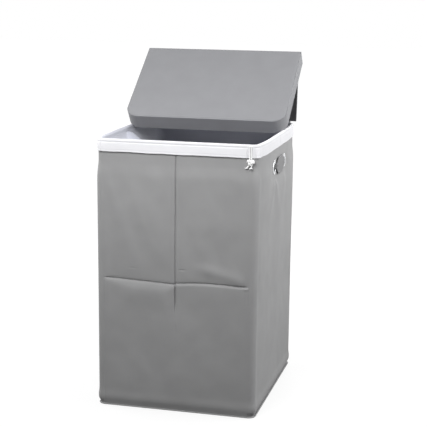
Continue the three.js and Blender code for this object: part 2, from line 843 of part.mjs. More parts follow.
// Front panel outline: square at the fold, round at the two front corners
function frontOutline(inset) {
  const half = lidHalfWidth - inset;
  const radius = lidFrontCornerRadius - inset;
  const front = -lidFrontLength + inset;
  const back = -lidEndGap;
  const points = [[half, back]];
  const arc = 2 * arcSteps;
  span(0, quarterTurn, arc).forEach((angle) =>
    points.push([half - radius + radius * Math.cos(angle), front + radius - radius * Math.sin(angle)]));
  return [...points, ...points.map(([x, y]) => [-x, y]).reverse()];
}

function frontLayer(thickness, lift, inset) {
  const shape = new THREE.Shape(frontOutline(inset).map(([x, y]) => new THREE.Vector2(x, y)));
  const layer = plate(shape, thickness);
  layer.translate(0, 0, lift);
  return layer;
}

function frontSkirt() {
  const top = lidThickness - lidTopCloth - layerGap;
  const foot = lidThickness - lidSkirtDepth;
  const outer = frontOutline(0);
  const inner = frontOutline(lidSkirtCloth);
  return sheet(
    outer.map(([x, y], k) => ({
      outer: [foot, top].map((z) => new THREE.Vector3(x, y, z)),
      inner: [foot, top].map((z) => new THREE.Vector3(inner[k][0], inner[k][1], z)),
    })),
  );
}

function lid() {
  const boardLift = lidUnderCloth + layerGap;
  const topLift = boardLift + lidBoardThickness + layerGap;
  const flapGroup = new THREE.Group();
  flapGroup.position.set(0, seamY, seamZ);
  flapGroup.add(piece('lid_rear_flap', lidFlap(), cloth(lidGrey)));
  const rearPiping = piece('lid_rear_piping', rod(lidPipingRadius, lidFlapWidth), cloth(lidGrey));
  rearPiping.position.set(0, lidHingeY - seamY, lidHingeZ - seamZ);
  flapGroup.add(rearPiping);

  const rearGroup = new THREE.Group();
  rearGroup.position.copy(rearPiping.position);
  rearGroup.rotation.x = -THREE.MathUtils.degToRad(90 + lidRearLean);
  rearGroup.add(piece('lid_rear_underside', rearLayer(lidUnderCloth, 0, 0), cloth(liningGrey)));
  rearGroup.add(piece('lid_rear_board', rearLayer(lidBoardThickness, boardLift, lidTopCloth), card()));
  rearGroup.add(piece('lid_rear_top_cloth', rearLayer(lidTopCloth, topLift, 0), cloth(lidGrey)));
  const foldPiping = piece('lid_fold_piping', rod(lidPipingRadius, lidRearWidth), cloth(lidGrey));
  foldPiping.position.set(0, -lidRearLength, 0);
  rearGroup.add(foldPiping);
  flapGroup.add(rearGroup);

  const frontGroup = new THREE.Group();
  frontGroup.position.copy(foldPiping.position);
  frontGroup.rotation.x = THREE.MathUtils.degToRad(90 + lidRearLean + lidFrontSlope);
  const insideSkirt = lidSkirtCloth + layerGap;
  frontGroup.add(piece('lid_front_underside', frontLayer(lidUnderCloth, 0, insideSkirt), cloth(liningGrey)));
  frontGroup.add(piece('lid_front_board', frontLayer(lidBoardThickness, boardLift, insideSkirt), card()));
  frontGroup.add(piece('lid_front_top_cloth', frontLayer(lidTopCloth, topLift, 0), cloth(lidGrey)));
  frontGroup.add(piece('lid_front_skirt', frontSkirt(), cloth(lidGrey)));
  rearGroup.add(frontGroup);
  return flapGroup;
}

function lidSeam() {
  const seam = piece('lid_flap_seam', rod(lidSeamRadius, lidFlapWidth), cloth(bodyGrey));
  seam.position.set(0, seamY, seamZ);
  return seam;
}

const hamper = new THREE.Group();
hamper.add(...endWall(-1, 'front'), ...endWall(1, 'back'));
hamper.add(...sideWall(-1, 'left'), ...sideWall(1, 'right'));
hamper.add(...bottom(), ...divider());
for (const [bagName, ySign] of [['front', -1], ['rear', 1]]) {
  hamper.add(piece(`${bagName}_liner_bag`, linerBag(ySign), cloth(linerWhite)));
}
hamper.add(piece('front_liner_hem', frontHem(), cloth(linerWhite)));
hamper.add(piece('rear_liner_hem', hem(1), cloth(linerWhite)));
hamper.add(piece('front_drawstring', drawstring(), cloth(linerWhite)));
const strandRadius = drawstringLegDiameter / 2;
hamper.add(piece('front_drawstring_left_end', strand(-1, strandRadius), cloth(linerWhite)));
hamper.add(piece('front_drawstring_right_end', strand(1, strandRadius), cloth(linerWhite)));
hamper.add(piece('front_drawstring_knot', drawstringKnot(), cloth(linerWhite)));
hamper.add(...handle(-1, 'left'), ...handle(1, 'right'));
hamper.add(lidSeam(), lid());

export default hamper;
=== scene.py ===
import math

import bmesh
import bpy
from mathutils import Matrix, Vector, noise


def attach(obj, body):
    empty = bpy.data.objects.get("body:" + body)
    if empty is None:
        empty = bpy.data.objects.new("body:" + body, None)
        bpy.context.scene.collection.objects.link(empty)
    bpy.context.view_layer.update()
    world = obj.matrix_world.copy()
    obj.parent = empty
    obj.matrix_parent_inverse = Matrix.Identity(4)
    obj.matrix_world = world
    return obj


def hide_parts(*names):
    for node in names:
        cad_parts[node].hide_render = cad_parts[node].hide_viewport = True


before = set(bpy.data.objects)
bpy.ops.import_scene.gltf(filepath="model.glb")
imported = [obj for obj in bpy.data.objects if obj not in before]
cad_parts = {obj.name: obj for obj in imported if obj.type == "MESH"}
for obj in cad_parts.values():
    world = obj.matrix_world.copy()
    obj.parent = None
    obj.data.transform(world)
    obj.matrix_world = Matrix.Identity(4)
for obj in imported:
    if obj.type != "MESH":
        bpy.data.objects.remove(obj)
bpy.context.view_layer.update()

# Camera. It stands where the photograph was taken from, a little above the rim and to the right
# of the hamper.
CAMERA_SENSOR = 36
CAMERA_LENS = 101.0
CAMERA_PLACE = (0.7496, -2.8293, 1.0313)
CAMERA_DEGREES = (78.584, -0.559, 14.286)


def add_object(name, data):
    obj = bpy.data.objects.new(name, data)
    bpy.context.scene.collection.objects.link(obj)
    return obj


camera_data = bpy.data.cameras.new("camera")
camera_data.sensor_width = CAMERA_SENSOR
camera_data.lens = CAMERA_LENS
camera = add_object("camera", camera_data)
camera.location = CAMERA_PLACE
camera.rotation_euler = [math.radians(degrees) for degrees in CAMERA_DEGREES]
bpy.context.scene.camera = camera


# Drawstring ends. The cord of the front bag is a soft white braid. Its two ends come out of the hem
# through a slot, hang over the band side by side, are tied in one knot and fray at their tips.
CORD_WHITE = (0.88, 0.88, 0.88, 1)
CORD_RADIUS = 0.0013
CORD_PITCH = 0.0011
STRAND_CYCLE = 6
CORD_SPACING = 0.0036
CORD_EXIT_X = 0.176
CORD_EXIT_Y = -0.2161
CORD_EXIT_Z = 0.647
CORD_BEND = 0.003
CORD_FACE_Y = -0.2196
ROUTE_STEPS = 5
KNOT_Y = -0.2208
KNOT_Z = 0.6088
KNOT_STRAND = 0.0032
TAIL_BEND_Z = 0.6040
TAIL_TIP_Z = 0.5995
TAILS = (("left", -1, -0.0034, -0.0068), ("right", 1, 0.0028, 0.0018))
FRAY_FIBRES = 22
FRAY_RADIUS = 0.00036


def fill_inputs(tree, node, inputs):
    """Each input of a node is either given a value or linked to another node's output."""
    for socket, value in inputs.items():
        if isinstance(value, bpy.types.NodeSocket):
            tree.links.new(value, node.inputs[socket])
        else:
            node.inputs[socket].default_value = value


def add_node(tree, kind, inputs, **settings):
    node = tree.nodes.new("ShaderNode" + kind)
    for setting, value in settings.items():
        setattr(node, setting, value)
    fill_inputs(tree, node, inputs)
    return node


def bumps(tree, height, distance, strength):
    """The normal of a surface that rises with height."""
    node = add_node(tree, "Bump", {"Height": height, "Distance": distance, "Strength": strength})
    return node.outputs["Normal"]


def new_material(name, colour, roughness):
    """A material with its node tree, its shader and the place on the object that patterns read."""
    material = bpy.data.materials.new(name)
    material.use_nodes = True
    tree = material.node_tree
    shader = tree.nodes["Principled BSDF"]
    fill_inputs(tree, shader, {"Base Color": colour, "Roughness": roughness})
    return material, tree, shader, add_node(tree, "TexCoord", {}).outputs["Object"]


def braid(name, colour, pitch):
    material, tree, shader, place = new_material(name, colour, roughness=0.85)
    strands = add_node(
        tree, "TexWave", {"Vector": place, "Scale": 1 / pitch / STRAND_CYCLE, "Distortion": 1.5},
        bands_direction="DIAGONAL",
    )
    relief = bumps(tree, strands.outputs["Fac"], distance=0.0003, strength=0.6)
    fill_inputs(tree, shader, {"Sheen Weight": 0.2, "Normal": relief})
    return material


cord_finish = braid("cord_braid", CORD_WHITE, CORD_PITCH)


def cord_curve(name, lines, radius, finish, cyclic=False):
    data = bpy.data.curves.new(name, "CURVE")
    data.dimensions = "3D"
    data.bevel_depth = radius
    data.bevel_resolution = 3
    data.use_fill_caps = True
    for line in lines:
        spline = data.splines.new("POLY")
        spline.points.add(len(line) - 1)
        for point, place in zip(spline.points, line):
            point.co = (*place, 1)
        spline.use_cyclic_u = cyclic
        spline.use_smooth = True
    data.materials.append(finish)
    return add_object(name, data)


def fit(piece, body, node=None):
    """Sets a piece on its body and in the place of its CAD node."""
    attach(piece, body)
    if node:
        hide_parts(node)


def smooth_route(marks, steps):
    """A smooth line through the marks, with so many steps from each to the next."""
    route = []
    ends = [2 * marks[0] - marks[1], *marks, 2 * marks[-1] - marks[-2]]
    for a, b, c, d in zip(ends, ends[1:], ends[2:], ends[3:]):
        for step in range(steps):
            t = step / steps
            curve = 2 * b + (c - a) * t + (2 * a - 5 * b + 4 * c - d) * t**2
            route.append(0.5 * (curve + (3 * b - a - 3 * c + d) * t**3))
    return [*route, marks[-1]]


def route_length(points):
    return sum((b - a).length for a, b in zip(points, points[1:]))


KNOT_STEPS = 96
KNOT_SWING = 2.6
KNOT_RISE = 0.0012
KNOT_HALF_WIDTH = 0.0060
KNOT_HALF_HEIGHT = 0.0043
KNOT_HALF_DEPTH = 0.0018


def knot_point(step):
    """Both ends are taken once round and pulled through, so the braid crosses itself three times."""
    t = 2 * math.pi * step / KNOT_STEPS
    across = (math.sin(t) + 2 * math.sin(2 * t)) / KNOT_SWING
    up = (math.cos(t) - 2 * math.cos(2 * t)) / KNOT_SWING
    return Vector((
        CORD_EXIT_X + KNOT_HALF_WIDTH * across,
        KNOT_Y - KNOT_HALF_DEPTH * math.sin(3 * t),
        KNOT_Z + KNOT_RISE + KNOT_HALF_HEIGHT * up,
    ))


FRAY_LENGTH = 0.0045
FRAY_ROOT = 0.0006
FRAY_RING = 0.6
FRAY_TURN = 2.4
FRAY_FLAT = 0.7
FRAY_LEAN = 0.25
FRAY_SPLAYS = (0.35, 0.60, 0.85)
FRAY_PARTS = (0, 0.35, 0.7, 1)


def frayed_fibre(tip, tail, index):
    """One fibre of a frayed tip: it leaves the cord along its tail and splays out and forwards."""
    angle = index * FRAY_TURN
    across, deep = math.cos(angle), math.sin(angle)
    splay = Vector((across, FRAY_FLAT * deep - FRAY_LEAN, 0)) * FRAY_SPLAYS[index % len(FRAY_SPLAYS)]
    root = tip - tail * FRAY_ROOT + Vector((across, deep, 0)) * CORD_RADIUS * FRAY_RING
    return [root + (tail + splay * part) * FRAY_LENGTH * part for part in FRAY_PARTS]


knot_turn = [knot_point(step) for step in range(KNOT_STEPS)]
knot = cord_curve("drawstring_knot", [knot_turn], KNOT_STRAND, cord_finish, cyclic=True)
fit(knot, "body", "front_drawstring_knot")

for side_name, side, tail_bend, tail_tip in TAILS:
    leg_x = CORD_EXIT_X + side * CORD_SPACING / 2
    route = smooth_route(
        [
            Vector((leg_x, CORD_EXIT_Y, CORD_EXIT_Z)),
            Vector((leg_x, CORD_FACE_Y + CORD_RADIUS, CORD_EXIT_Z)),
            Vector((leg_x, CORD_FACE_Y, CORD_EXIT_Z - CORD_BEND)),
            Vector((leg_x, CORD_FACE_Y, (CORD_EXIT_Z + KNOT_Z) / 2)),
            Vector((leg_x, KNOT_Y, KNOT_Z)),
            Vector((CORD_EXIT_X + tail_bend, KNOT_Y, TAIL_BEND_Z)),
            Vector((CORD_EXIT_X + tail_tip, KNOT_Y, TAIL_TIP_Z)),
        ],
        ROUTE_STEPS,
    )
    end = cord_curve(f"drawstring_{side_name}_end", [route], CORD_RADIUS, cord_finish)
    fit(end, "body", f"front_drawstring_{side_name}_end")
    tail = (route[-1] - route[-3]).normalized()
    fibres = [frayed_fibre(route[-1], tail, index) for index in range(FRAY_FIBRES)]
    fray = cord_curve(f"drawstring_{side_name}_fray", fibres, FRAY_RADIUS, cord_finish)
    fit(fray, "body")
    tuple(route[0])
    route_length(route)


# Front and back walls. Grey non-woven cloth is sewn over four boards, so each wall shows a cross of
# pressed folds between four slightly puffed fields. Pairs are a middle and a reach, or a start and an
# end, with x from the upright fold, d up from the level fold and z up from the floor.
BODY_GREY = (0.322, 0.322, 0.325, 1)
HALF_WIDTH = 0.1905
HALF_DEPTH = 0.217
CORNER = 0.014
CLOTH = 0.0014
WALL_FOOT = 0.0017
WALL_TOP = 0.6452
SEAM_GAP = 0.00005
FOLD_Z = 0.3172


def tint(colour, share):
    return (*(channel * share for channel in colour[:3]), 1)


def mottle(tree, share, dark, pale, start=0, end=1):
    """A colour that drifts from dark to pale as share goes from start to end."""
    ramp = add_node(tree, "ValToRGB", {"Fac": share})
    first, last = ramp.color_ramp.elements
    first.position, first.color = start, dark
    last.position, last.color = end, pale
    return ramp.outputs["Color"]


def sum_of(tree, one, other):
    return add_node(tree, "Math", {0: one, 1: other}, operation="ADD").outputs["Value"]


def non_woven(name, colour):
    """Pressed fibre cloth: faint clouds, a grid of weld dots and a fine felt of fibres."""
    material, tree, shader, place = new_material(name, colour, roughness=0.8)
    cloud = add_node(tree, "TexNoise", {"Vector": place, "Scale": 24, "Detail": 5})
    dots = add_node(tree, "TexVoronoi", {"Vector": place, "Scale": 620, "Randomness": 0.12})
    fibres = add_node(tree, "TexNoise", {"Vector": place, "Scale": 1500, "Detail": 3})
    relief = sum_of(tree, dots.outputs["Distance"], fibres.outputs["Fac"])
    fill_inputs(tree, shader, {
        "Base Color": mottle(tree, cloud.outputs["Fac"], tint(colour, 0.95), colour, start=0.3, end=0.7),
        "Specular IOR Level": 0.2,
        "Sheen Weight": 0.06,
        "Sheen Roughness": 0.5,
        "Normal": bumps(tree, relief, distance=0.00025, strength=0.35),
    })
    return material


body_finish = non_woven("body_non_woven", BODY_GREY)


def swell(value, centre, reach):
    """A soft bump, 1 at its centre."""
    return math.exp(-(((value - centre) / reach) ** 2))


def step_up(value, start, end):
    """0 before start, 1 after end, and smooth between."""
    t = min(max((value - start) / (end - start), 0), 1)
    return t * t * (3 - 2 * t)


def from_middle(share, half):
    """-half where share is 0, and half where it is 1."""
    return (share - 0.5) * 2 * half


def slack(x, y, z, grain, depth):
    return depth * noise.noise(Vector((x, y, z)) * grain)


BORDER = 0.0004
MERGE = 1e-6


def spread(share, cells):
    """Even cells with a narrow one at each end, so the shading stays crisp along a cut edge."""
    index = round(share * cells)
    if index in (0, cells):
        return index / cells
    return BORDER + (1 - 2 * BORDER) * (index - 1) / (cells - 2)


def turn_edges(mesh, turn):
    """Turns the open edges down; turn gives each edge point's way down, or None where it stays."""
    open_edges = [edge for edge in mesh.edges if edge.is_boundary]
    turned = [edge for edge in open_edges if all(turn(v.co) for v in edge.verts)]
    made = bmesh.ops.extrude_edge_only(mesh, edges=turned)["geom"]
    for vertex in [item for item in made if isinstance(item, bmesh.types.BMVert)]:
        vertex.co += turn(vertex.co)
    bmesh.ops.recalc_face_normals(mesh, faces=mesh.faces)


def smooth_object(name, mesh, finish):
    for face in mesh.faces:
        face.smooth = True
    data = bpy.data.meshes.new(name)
    mesh.to_mesh(data)
    mesh.free()
    data.materials.append(finish)
    return add_object(name, data)


def cloth_sheet(name, body, node, finish, place, cells, thickness,
                flip=False, close=False, turn=None):
    """A piece of cloth over across, up = 0 to 1, each placed by place(across, up). close joins edges
    that meet, and turn gives the way down of those that are turned in."""
    mesh = bmesh.new()
    bmesh.ops.create_grid(mesh, x_segments=cells[0], y_segments=cells[1], size=0.5)
    for vertex in mesh.verts:
        across, up = spread(vertex.co.x + 0.5, cells[0]), spread(vertex.co.y + 0.5, cells[1])
        vertex.co = place(across, up)
    if close:
        bmesh.ops.remove_doubles(mesh, verts=mesh.verts, dist=MERGE)
    if turn:
        turn_edges(mesh, turn)
    if flip:
        bmesh.ops.reverse_faces(mesh, faces=mesh.faces)
    obj = smooth_object(name, mesh, finish)
    if thickness:
        wall = obj.modifiers.new("cloth", "SOLIDIFY")
        wall.thickness = thickness
        wall.offset = -1
    fit(obj, body, node)
    return obj


def packed(share, slow):
    """Cells packed close at the middle of a run, for a fold that lies there."""
    return slow * share + (1 - slow) * share**3


PUFF_CURVE = 1.4


def puff_under_fold(below, rise, lift, fade):
    """Cloth that comes out of a fold, stands out by rise within lift, and settles back over fade."""
    return rise * (1 - math.exp(-((below / lift) ** PUFF_CURVE))) * math.exp(-((below / fade) ** 2))


FOLD_DEPTH = 0.0036
TUCK_ABOVE = 0.0020
SLOPE_DEPTH = 0.0015
SLOPE_REACH = 0.014
RIDGE_RISE = 0.0030
RIDGE_REACH = 0.0150
RIDGE_START = (0.022, 0.090)
RIDGE_END = (0.150, 0.174)
RIDGE_TOP_X = 0.050
RIDGE_TOP_D = 0.037
RIDGE_RUN = 0.112
RIDGE_FALL = 0.026
RIDGE_CURVE = 1.3
DENTS = ((0.0011, 0.0165, 0.0325), (0.0006, -0.105, 0.030))
DENT_HALF_WIDTH = 0.008
DENT_HALF_HEIGHT = 0.0016


def relief_above(x, d, held):
    """Above the level fold the cloth is drawn into it, with a slanting ridge and two small dents."""
    tuck = -FOLD_DEPTH * math.exp(-d / TUCK_ABOVE) - SLOPE_DEPTH * math.exp(-d / SLOPE_REACH)
    down_ridge = min(max((x - RIDGE_TOP_X) / RIDGE_RUN, 0), 1)
    ridge_d = RIDGE_TOP_D - RIDGE_FALL * down_ridge**RIDGE_CURVE
    along = step_up(x, *RIDGE_START) * (1 - step_up(x, *RIDGE_END))
    ridge = RIDGE_RISE * along * swell(d, ridge_d, RIDGE_REACH)
    dents = 0
    for depth, dent_x, dent_d in DENTS:
        dents -= depth * swell(x, dent_x, DENT_HALF_WIDTH) * swell(d, dent_d, DENT_HALF_HEIGHT)
    return tuck * held + ridge + dents


TUCK_BELOW = 0.0012
WEDGE_START = (-0.176, -0.090)
WEDGE_END = (-0.030, -0.004)
WEDGE_LOSS = 0.8
LEFT_RISE = (0.0018, 0.0052)
LEFT_LIFT = (0.004, 0.009)
LEFT_FADE = 0.062
RIGHT_RISE = 0.0021
RIGHT_LIFT = 0.0022
RIGHT_FADE = 0.045
CROSSING = 0.004


def relief_below(x, d, held):
    """Below it the cloth comes out of the fold, in a wide wedge on the left and a thin lip on the
    right."""
    left, right = 1 - step_up(x, -CROSSING, 0.0), step_up(x, 0.0, CROSSING)
    wedge = step_up(x, *WEDGE_START) * (1 - WEDGE_LOSS * step_up(x, *WEDGE_END))
    rise = LEFT_RISE[0] + LEFT_RISE[1] * wedge
    lift = LEFT_LIFT[0] + LEFT_LIFT[1] * wedge
    left_puff = puff_under_fold(-d, rise, lift, LEFT_FADE)
    right_puff = puff_under_fold(-d, RIGHT_RISE, RIGHT_LIFT, RIGHT_FADE)
    tuck = -FOLD_DEPTH * math.exp(d / TUCK_BELOW)
    return (tuck + left_puff * left + right_puff * right) * held


FOLD_HELD = (0.168, 0.1762)
FIELD_RISE = 0.0012
FIELD_X = (0.088, 0.055)
FIELD_ABOVE_Z = (0.47, 0.1)
FIELD_BELOW_Z = (0.16, 0.09)
TIP_RISE = 0.0020
TIP_X = (0.170, 0.004)
TIP_D = (-0.0035, 0.003)
GROOVE_DEPTH = 0.0030
GROOVE_REACH = 0.0016
GROOVE_END = (0.045, 0.085)
GROOVE_BUMP = 0.0008
GROOVE_BUMP_X = (0.004, 0.004)
GROOVE_BUMP_D = (-0.098, 0.016)
GROOVE_LIPS = ((0.0006, 0.0055), (0.0003, -0.0065))
GROOVE_LIP_REACH = 0.0035


def wall_relief(x, d, z):
    """How far the cloth stands out at x, d above the level fold and z above the floor. The upright
    fold is a groove between two low lips, and the level one ends on the right in a small tip."""
    run = abs(x)
    held = 1 - step_up(run, *FOLD_HELD)
    puff = FIELD_RISE * swell(run, *FIELD_X) * swell(z, *(FIELD_ABOVE_Z if d > 0 else FIELD_BELOW_Z))
    if d > 0:
        puff += relief_above(x, d, held)
        groove = 1
    else:
        puff += relief_below(x, d, held)
        puff += TIP_RISE * swell(x, *TIP_X) * swell(d, *TIP_D)
        groove = 1 - step_up(-d, *GROOVE_END)
        puff += GROOVE_BUMP * swell(x, *GROOVE_BUMP_X) * swell(d, *GROOVE_BUMP_D)
    puff -= GROOVE_DEPTH * groove * swell(x, 0, GROOVE_REACH)
    puff += sum(rise * groove * swell(x, lip_x, GROOVE_LIP_REACH) for rise, lip_x in GROOVE_LIPS)
    return puff


CLEAR_OF_BOARD = 0.0026
CLEAR_FROM_Z = (0.0045, 0.015)
FOOT_ROLL = 0.0018
FOOT_ROLL_Z = (0.023, 0.011)
UNDER_HEM_Z = (WALL_TOP - 0.082, WALL_TOP - 0.046)


def stand_off(z):
    """The cloth stands a little clear of its board, and draws in at the foot and under the hem."""
    foot = CLEAR_OF_BOARD * step_up(z, *CLEAR_FROM_Z) + FOOT_ROLL * swell(z, *FOOT_ROLL_Z)
    return foot * (1 - step_up(z, *UNDER_HEM_Z))


BOARD_TOUCH = 0.0002
BOARD_GAP = (0.0045, 0.0068)
BOARD_GAP_DEPTH = 0.0027


def over_board(out, near_fold):
    """Cloth can sink only into the gap between two boards."""
    return max(out, -BOARD_TOUCH - BOARD_GAP_DEPTH * (1 - step_up(near_fold, *BOARD_GAP)))


END_WAVES = ((9, 0.0034), (27, 0.0007))
END_CALM_X = (0.15, 0.176)
END_CALM_Z = (WALL_TOP - 0.090, WALL_TOP - 0.046)
FOOT_CALM_Z = (0.0, 0.04)
DRAG_GRAIN = 12
DRAG_SHIFT = 3
DRAG_ACROSS = (2.2, 0.9)
DRAG_UP = (-0.3, 0.5)
DRAG_BELOW = 0.0008
DRAG_ABOVE = 0.0012
DRAG_Z = (0.28, 0.38)


def end_slack(x, z, grain_shift):
    """Broad and fine waves, and pulls that run slantwise and are stronger in the upper half."""
    waves = sum(slack(x, grain_shift, z, grain, depth) for grain, depth in END_WAVES)
    drag = DRAG_BELOW + DRAG_ABOVE * step_up(z, *DRAG_Z)
    slant_x = x * DRAG_ACROSS[0] + z * DRAG_ACROSS[1]
    slant_z = x * DRAG_UP[0] + z * DRAG_UP[1]
    pulls = slack(slant_x, grain_shift + DRAG_SHIFT, slant_z, DRAG_GRAIN, drag)
    calm = (1 - step_up(z, *END_CALM_Z)) * step_up(z, *FOOT_CALM_Z)
    return (waves + pulls) * calm * (1 - step_up(abs(x), *END_CALM_X))


FOLD_RUN = 0.176
LEFT_DIP = 0.006
RIGHT_DIP = 0.003
RIGHT_DIP_X = (0, 0.05)
FOLD_ARCH = 0.0018
FOLD_ARCH_X = (0.085, 0.045)
FOLD_BEND_REACH = 0.045
FOLD_BEND_END = (0.17, 0.176)


def fold_bend(x, d):
    """The level fold dips towards the crossing, more from the left, and arches on the right."""
    if x < 0:
        dip = -LEFT_DIP * (x + FOLD_RUN) / FOLD_RUN
    else:
        dip = -RIGHT_DIP * (1 - step_up(x, *RIGHT_DIP_X))
    arch = FOLD_ARCH * swell(x, *FOLD_ARCH_X)
    return (dip * (1 - step_up(abs(x), *FOLD_BEND_END)) + arch) * swell(d, 0, FOLD_BEND_REACH)


END_SHIFT = 0.7
END_PACKING = 0.3
UP_PACKING = 0.25
BAND_Z = (WALL_TOP - 0.03, WALL_TOP)


def end_wall(sign, grain_shift):
    def place(across, up):
        s, t = 2 * across - 1, 2 * up - 1
        x = (HALF_WIDTH - CORNER - SEAM_GAP) * packed(s, END_PACKING)
        d = (WALL_TOP - FOLD_Z if t > 0 else FOLD_Z - WALL_FOOT) * packed(t, UP_PACKING)
        z = FOLD_Z + d
        seen_x = x if sign < 0 else -x
        below_hem = 1 - step_up(z, *BAND_Z)
        out = wall_relief(seen_x, d, z) * below_hem + end_slack(x, z, grain_shift) + stand_off(z)
        bent = z + fold_bend(seen_x, d)
        near_fold = min(abs(x), abs(bent - FOLD_Z))
        return Vector((x, sign * (HALF_DEPTH + over_board(out, near_fold)), bent))

    return place


for wall, sign, cells in (("front", -1, (190, 240)), ("back", 1, (120, 170))):
    cloth_sheet(
        f"{wall}_wall_cloth", "body", f"{wall}_cover", body_finish,
        end_wall(sign, sign * END_SHIFT), cells, CLOTH, flip=sign > 0,
    )


# Side walls. The same cloth wraps round the corners, and each side bows out a little at the rim.
# The cloth is drawn towards the eyelets, with a few soft pulls below them.
SIDE_CELLS = (206, 214)
BOW = 0.008
BOW_START = 0.2275
BOW_END = 0.530
BOW_FLAT = 0.103
EYELET_Y = 0.058
EYELET_Z = 0.575
EYELET_CUT = 0.0128
STRAIGHT_Y = HALF_DEPTH - CORNER
QUARTER_ARC = CORNER * math.pi / 2
SIDE_RUN = STRAIGHT_Y + QUARTER_ARC


def bow(y, z):
    beyond = max(0, abs(y) - BOW_FLAT) / (HALF_DEPTH - BOW_FLAT)
    return BOW * (1 - beyond**2) * step_up(z, BOW_START, BOW_END)


def rim_station(run):
    """A place along a side from the middle of one end to the other: x, y and the outward direction."""
    end = math.copysign(1, run)
    beyond = abs(run) - STRAIGHT_Y
    if beyond <= 0:
        return HALF_WIDTH, run, 1, 0
    angle = min(beyond / CORNER, math.pi / 2)
    x = HALF_WIDTH - CORNER + CORNER * math.cos(angle)
    y = end * (STRAIGHT_Y + CORNER * math.sin(angle))
    past = max(0, beyond - QUARTER_ARC)
    return x - past, y, math.cos(angle), end * math.sin(angle)


def wall_place(run, z, out, side):
    x, y, nx, ny = rim_station(run)
    x = x + bow(y, z) * abs(nx) + nx * out
    return Vector((side * x, y + ny * out, z))


def from_eyelet(y, z):
    return min(math.hypot(y - middle, z - EYELET_Z) for middle in (-EYELET_Y, EYELET_Y))


PULLS = ((-EYELET_Y, 0.62, 0.0034), (-EYELET_Y, -0.45, 0.0030), (EYELET_Y, -0.30, 0.0026))
PULL_START = 0.019
PULL_WIDTH = 0.008
PULL_WIDENS = 0.20
PULL_RISES = (0, 0.025)
PULL_FADE = 0.11
PULL_CLEAR = (0.0175, 0.024)
PUCKER_DEPTH = 0.0020
PUCKER_WIDTH = 0.006
PUCKER_FADE = 0.016


def eyelet_pulls(run, z):
    """Soft pulls that hang from the eyelets, and a short pucker under the front one."""
    drop = EYELET_Z - PULL_START - z
    if drop <= 0:
        return 0
    pull = 0
    for start, lean, depth in PULLS:
        line = swell(run, start + lean * drop, PULL_WIDTH + PULL_WIDENS * drop)
        pull += depth * line * step_up(drop, *PULL_RISES) * math.exp(-drop / PULL_FADE)
    pull -= PUCKER_DEPTH * swell(run, -EYELET_Y, PUCKER_WIDTH) * math.exp(-drop / PUCKER_FADE)
    return pull * step_up(from_eyelet(run, z), *PULL_CLEAR)


SIDE_SHIFT = 0.4
CORNER_PACKING = 0.2
SIDE_WAVES = ((8, 0.0030), (24, 0.0006))
SIDE_CALM = (0.185, 0.206)
SIDE_TOUCH = 0.0001
FLAT_ROUND_EYELETS = (0.022, 0.055)
CORNER_MIDDLE = (STRAIGHT_Y + QUARTER_ARC / 2, 0.0078)
CORNER_FILL = 0.0022
CORNER_FOOT_Z = (0.002, 0.016)
CORNER_TOP_Z = (WALL_TOP - 0.100, WALL_TOP - 0.043)


def side_wall(side, grain_shift):
    def place(across, up):
        s = 2 * across - 1
        run = SIDE_RUN * ((1 + CORNER_PACKING) * s - CORNER_PACKING * s**5)
        z = WALL_FOOT + up * (WALL_TOP - WALL_FOOT)
        waves = sum(slack(grain_shift, run, z, grain, depth) for grain, depth in SIDE_WAVES)
        calm = (1 - step_up(z, *UNDER_HEM_Z)) * step_up(z, *FOOT_CALM_Z)
        edge = 1 - step_up(abs(run), *SIDE_CALM)
        from_row = math.hypot(max(0, abs(run) - EYELET_Y), z - EYELET_Z)
        free = step_up(z, *CORNER_FOOT_Z) * (1 - step_up(z, *CORNER_TOP_Z))
        fill = CORNER_FILL * swell(abs(run), *CORNER_MIDDLE) * free
        out = (waves * edge * calm + stand_off(z)) * step_up(from_row, *FLAT_ROUND_EYELETS)
        return wall_place(run, z, max(out + eyelet_pulls(run, z) + fill, -SIDE_TOUCH), side)

    return place


def cut_round_eyelets(obj, radius):
    mesh = bmesh.new()
    mesh.from_mesh(obj.data)
    inside = []
    for face in mesh.faces:
        centre = face.calc_center_median()
        if from_eyelet(centre.y, centre.z) < radius:
            inside.append(face)
    bmesh.ops.delete(mesh, geom=inside, context="FACES")
    mesh.to_mesh(obj.data)
    mesh.free()


for side_name, side in (("left", -1), ("right", 1)):
    wall = cloth_sheet(
        f"{side_name}_side_cloth", "body", f"{side_name}_side_cover", body_finish,
        side_wall(side, side * SIDE_SHIFT), SIDE_CELLS, CLOTH, flip=side < 0,
    )
    cut_round_eyelets(wall, EYELET_CUT)


# Lining. A darker, thinner non-woven cloth closes each wall on the inside, behind the boards. It is
# sewn in with the cover at the foot and at the rim.
LINING_GREY = (0.105, 0.105, 0.11, 1)
LINING = 0.0009
LINING_INSET = 0.0045
LINING_SIDE_GAP = 0.0003
LINING_GRAIN = 12
LINING_SLACK = 0.0006
LINING_EYELET_CUT = 0.0125
END_LINING_CELLS = (24, 40)
SIDE_LINING_CELLS = (120, 160)
lining_finish = non_woven("lining_non_woven", LINING_GREY)


def end_lining(sign):
    def place(across, up):
        x = from_middle(across, HALF_WIDTH - CORNER - LINING_SIDE_GAP)
        z = WALL_FOOT + up * (WALL_TOP - WALL_FOOT)
        inward = max(0, slack(x, sign, z, LINING_GRAIN, LINING_SLACK))
        return Vector((x, sign * (HALF_DEPTH - LINING_INSET - inward), z))

    return place


def side_lining(side):
    def place(across, up):
        run = from_middle(across, SIDE_RUN)
        z = WALL_FOOT + up * (WALL_TOP - WALL_FOOT)
        inward = max(0, slack(side, run, z, LINING_GRAIN, LINING_SLACK))
        return wall_place(run, z, -LINING_INSET - inward, side)

    return place


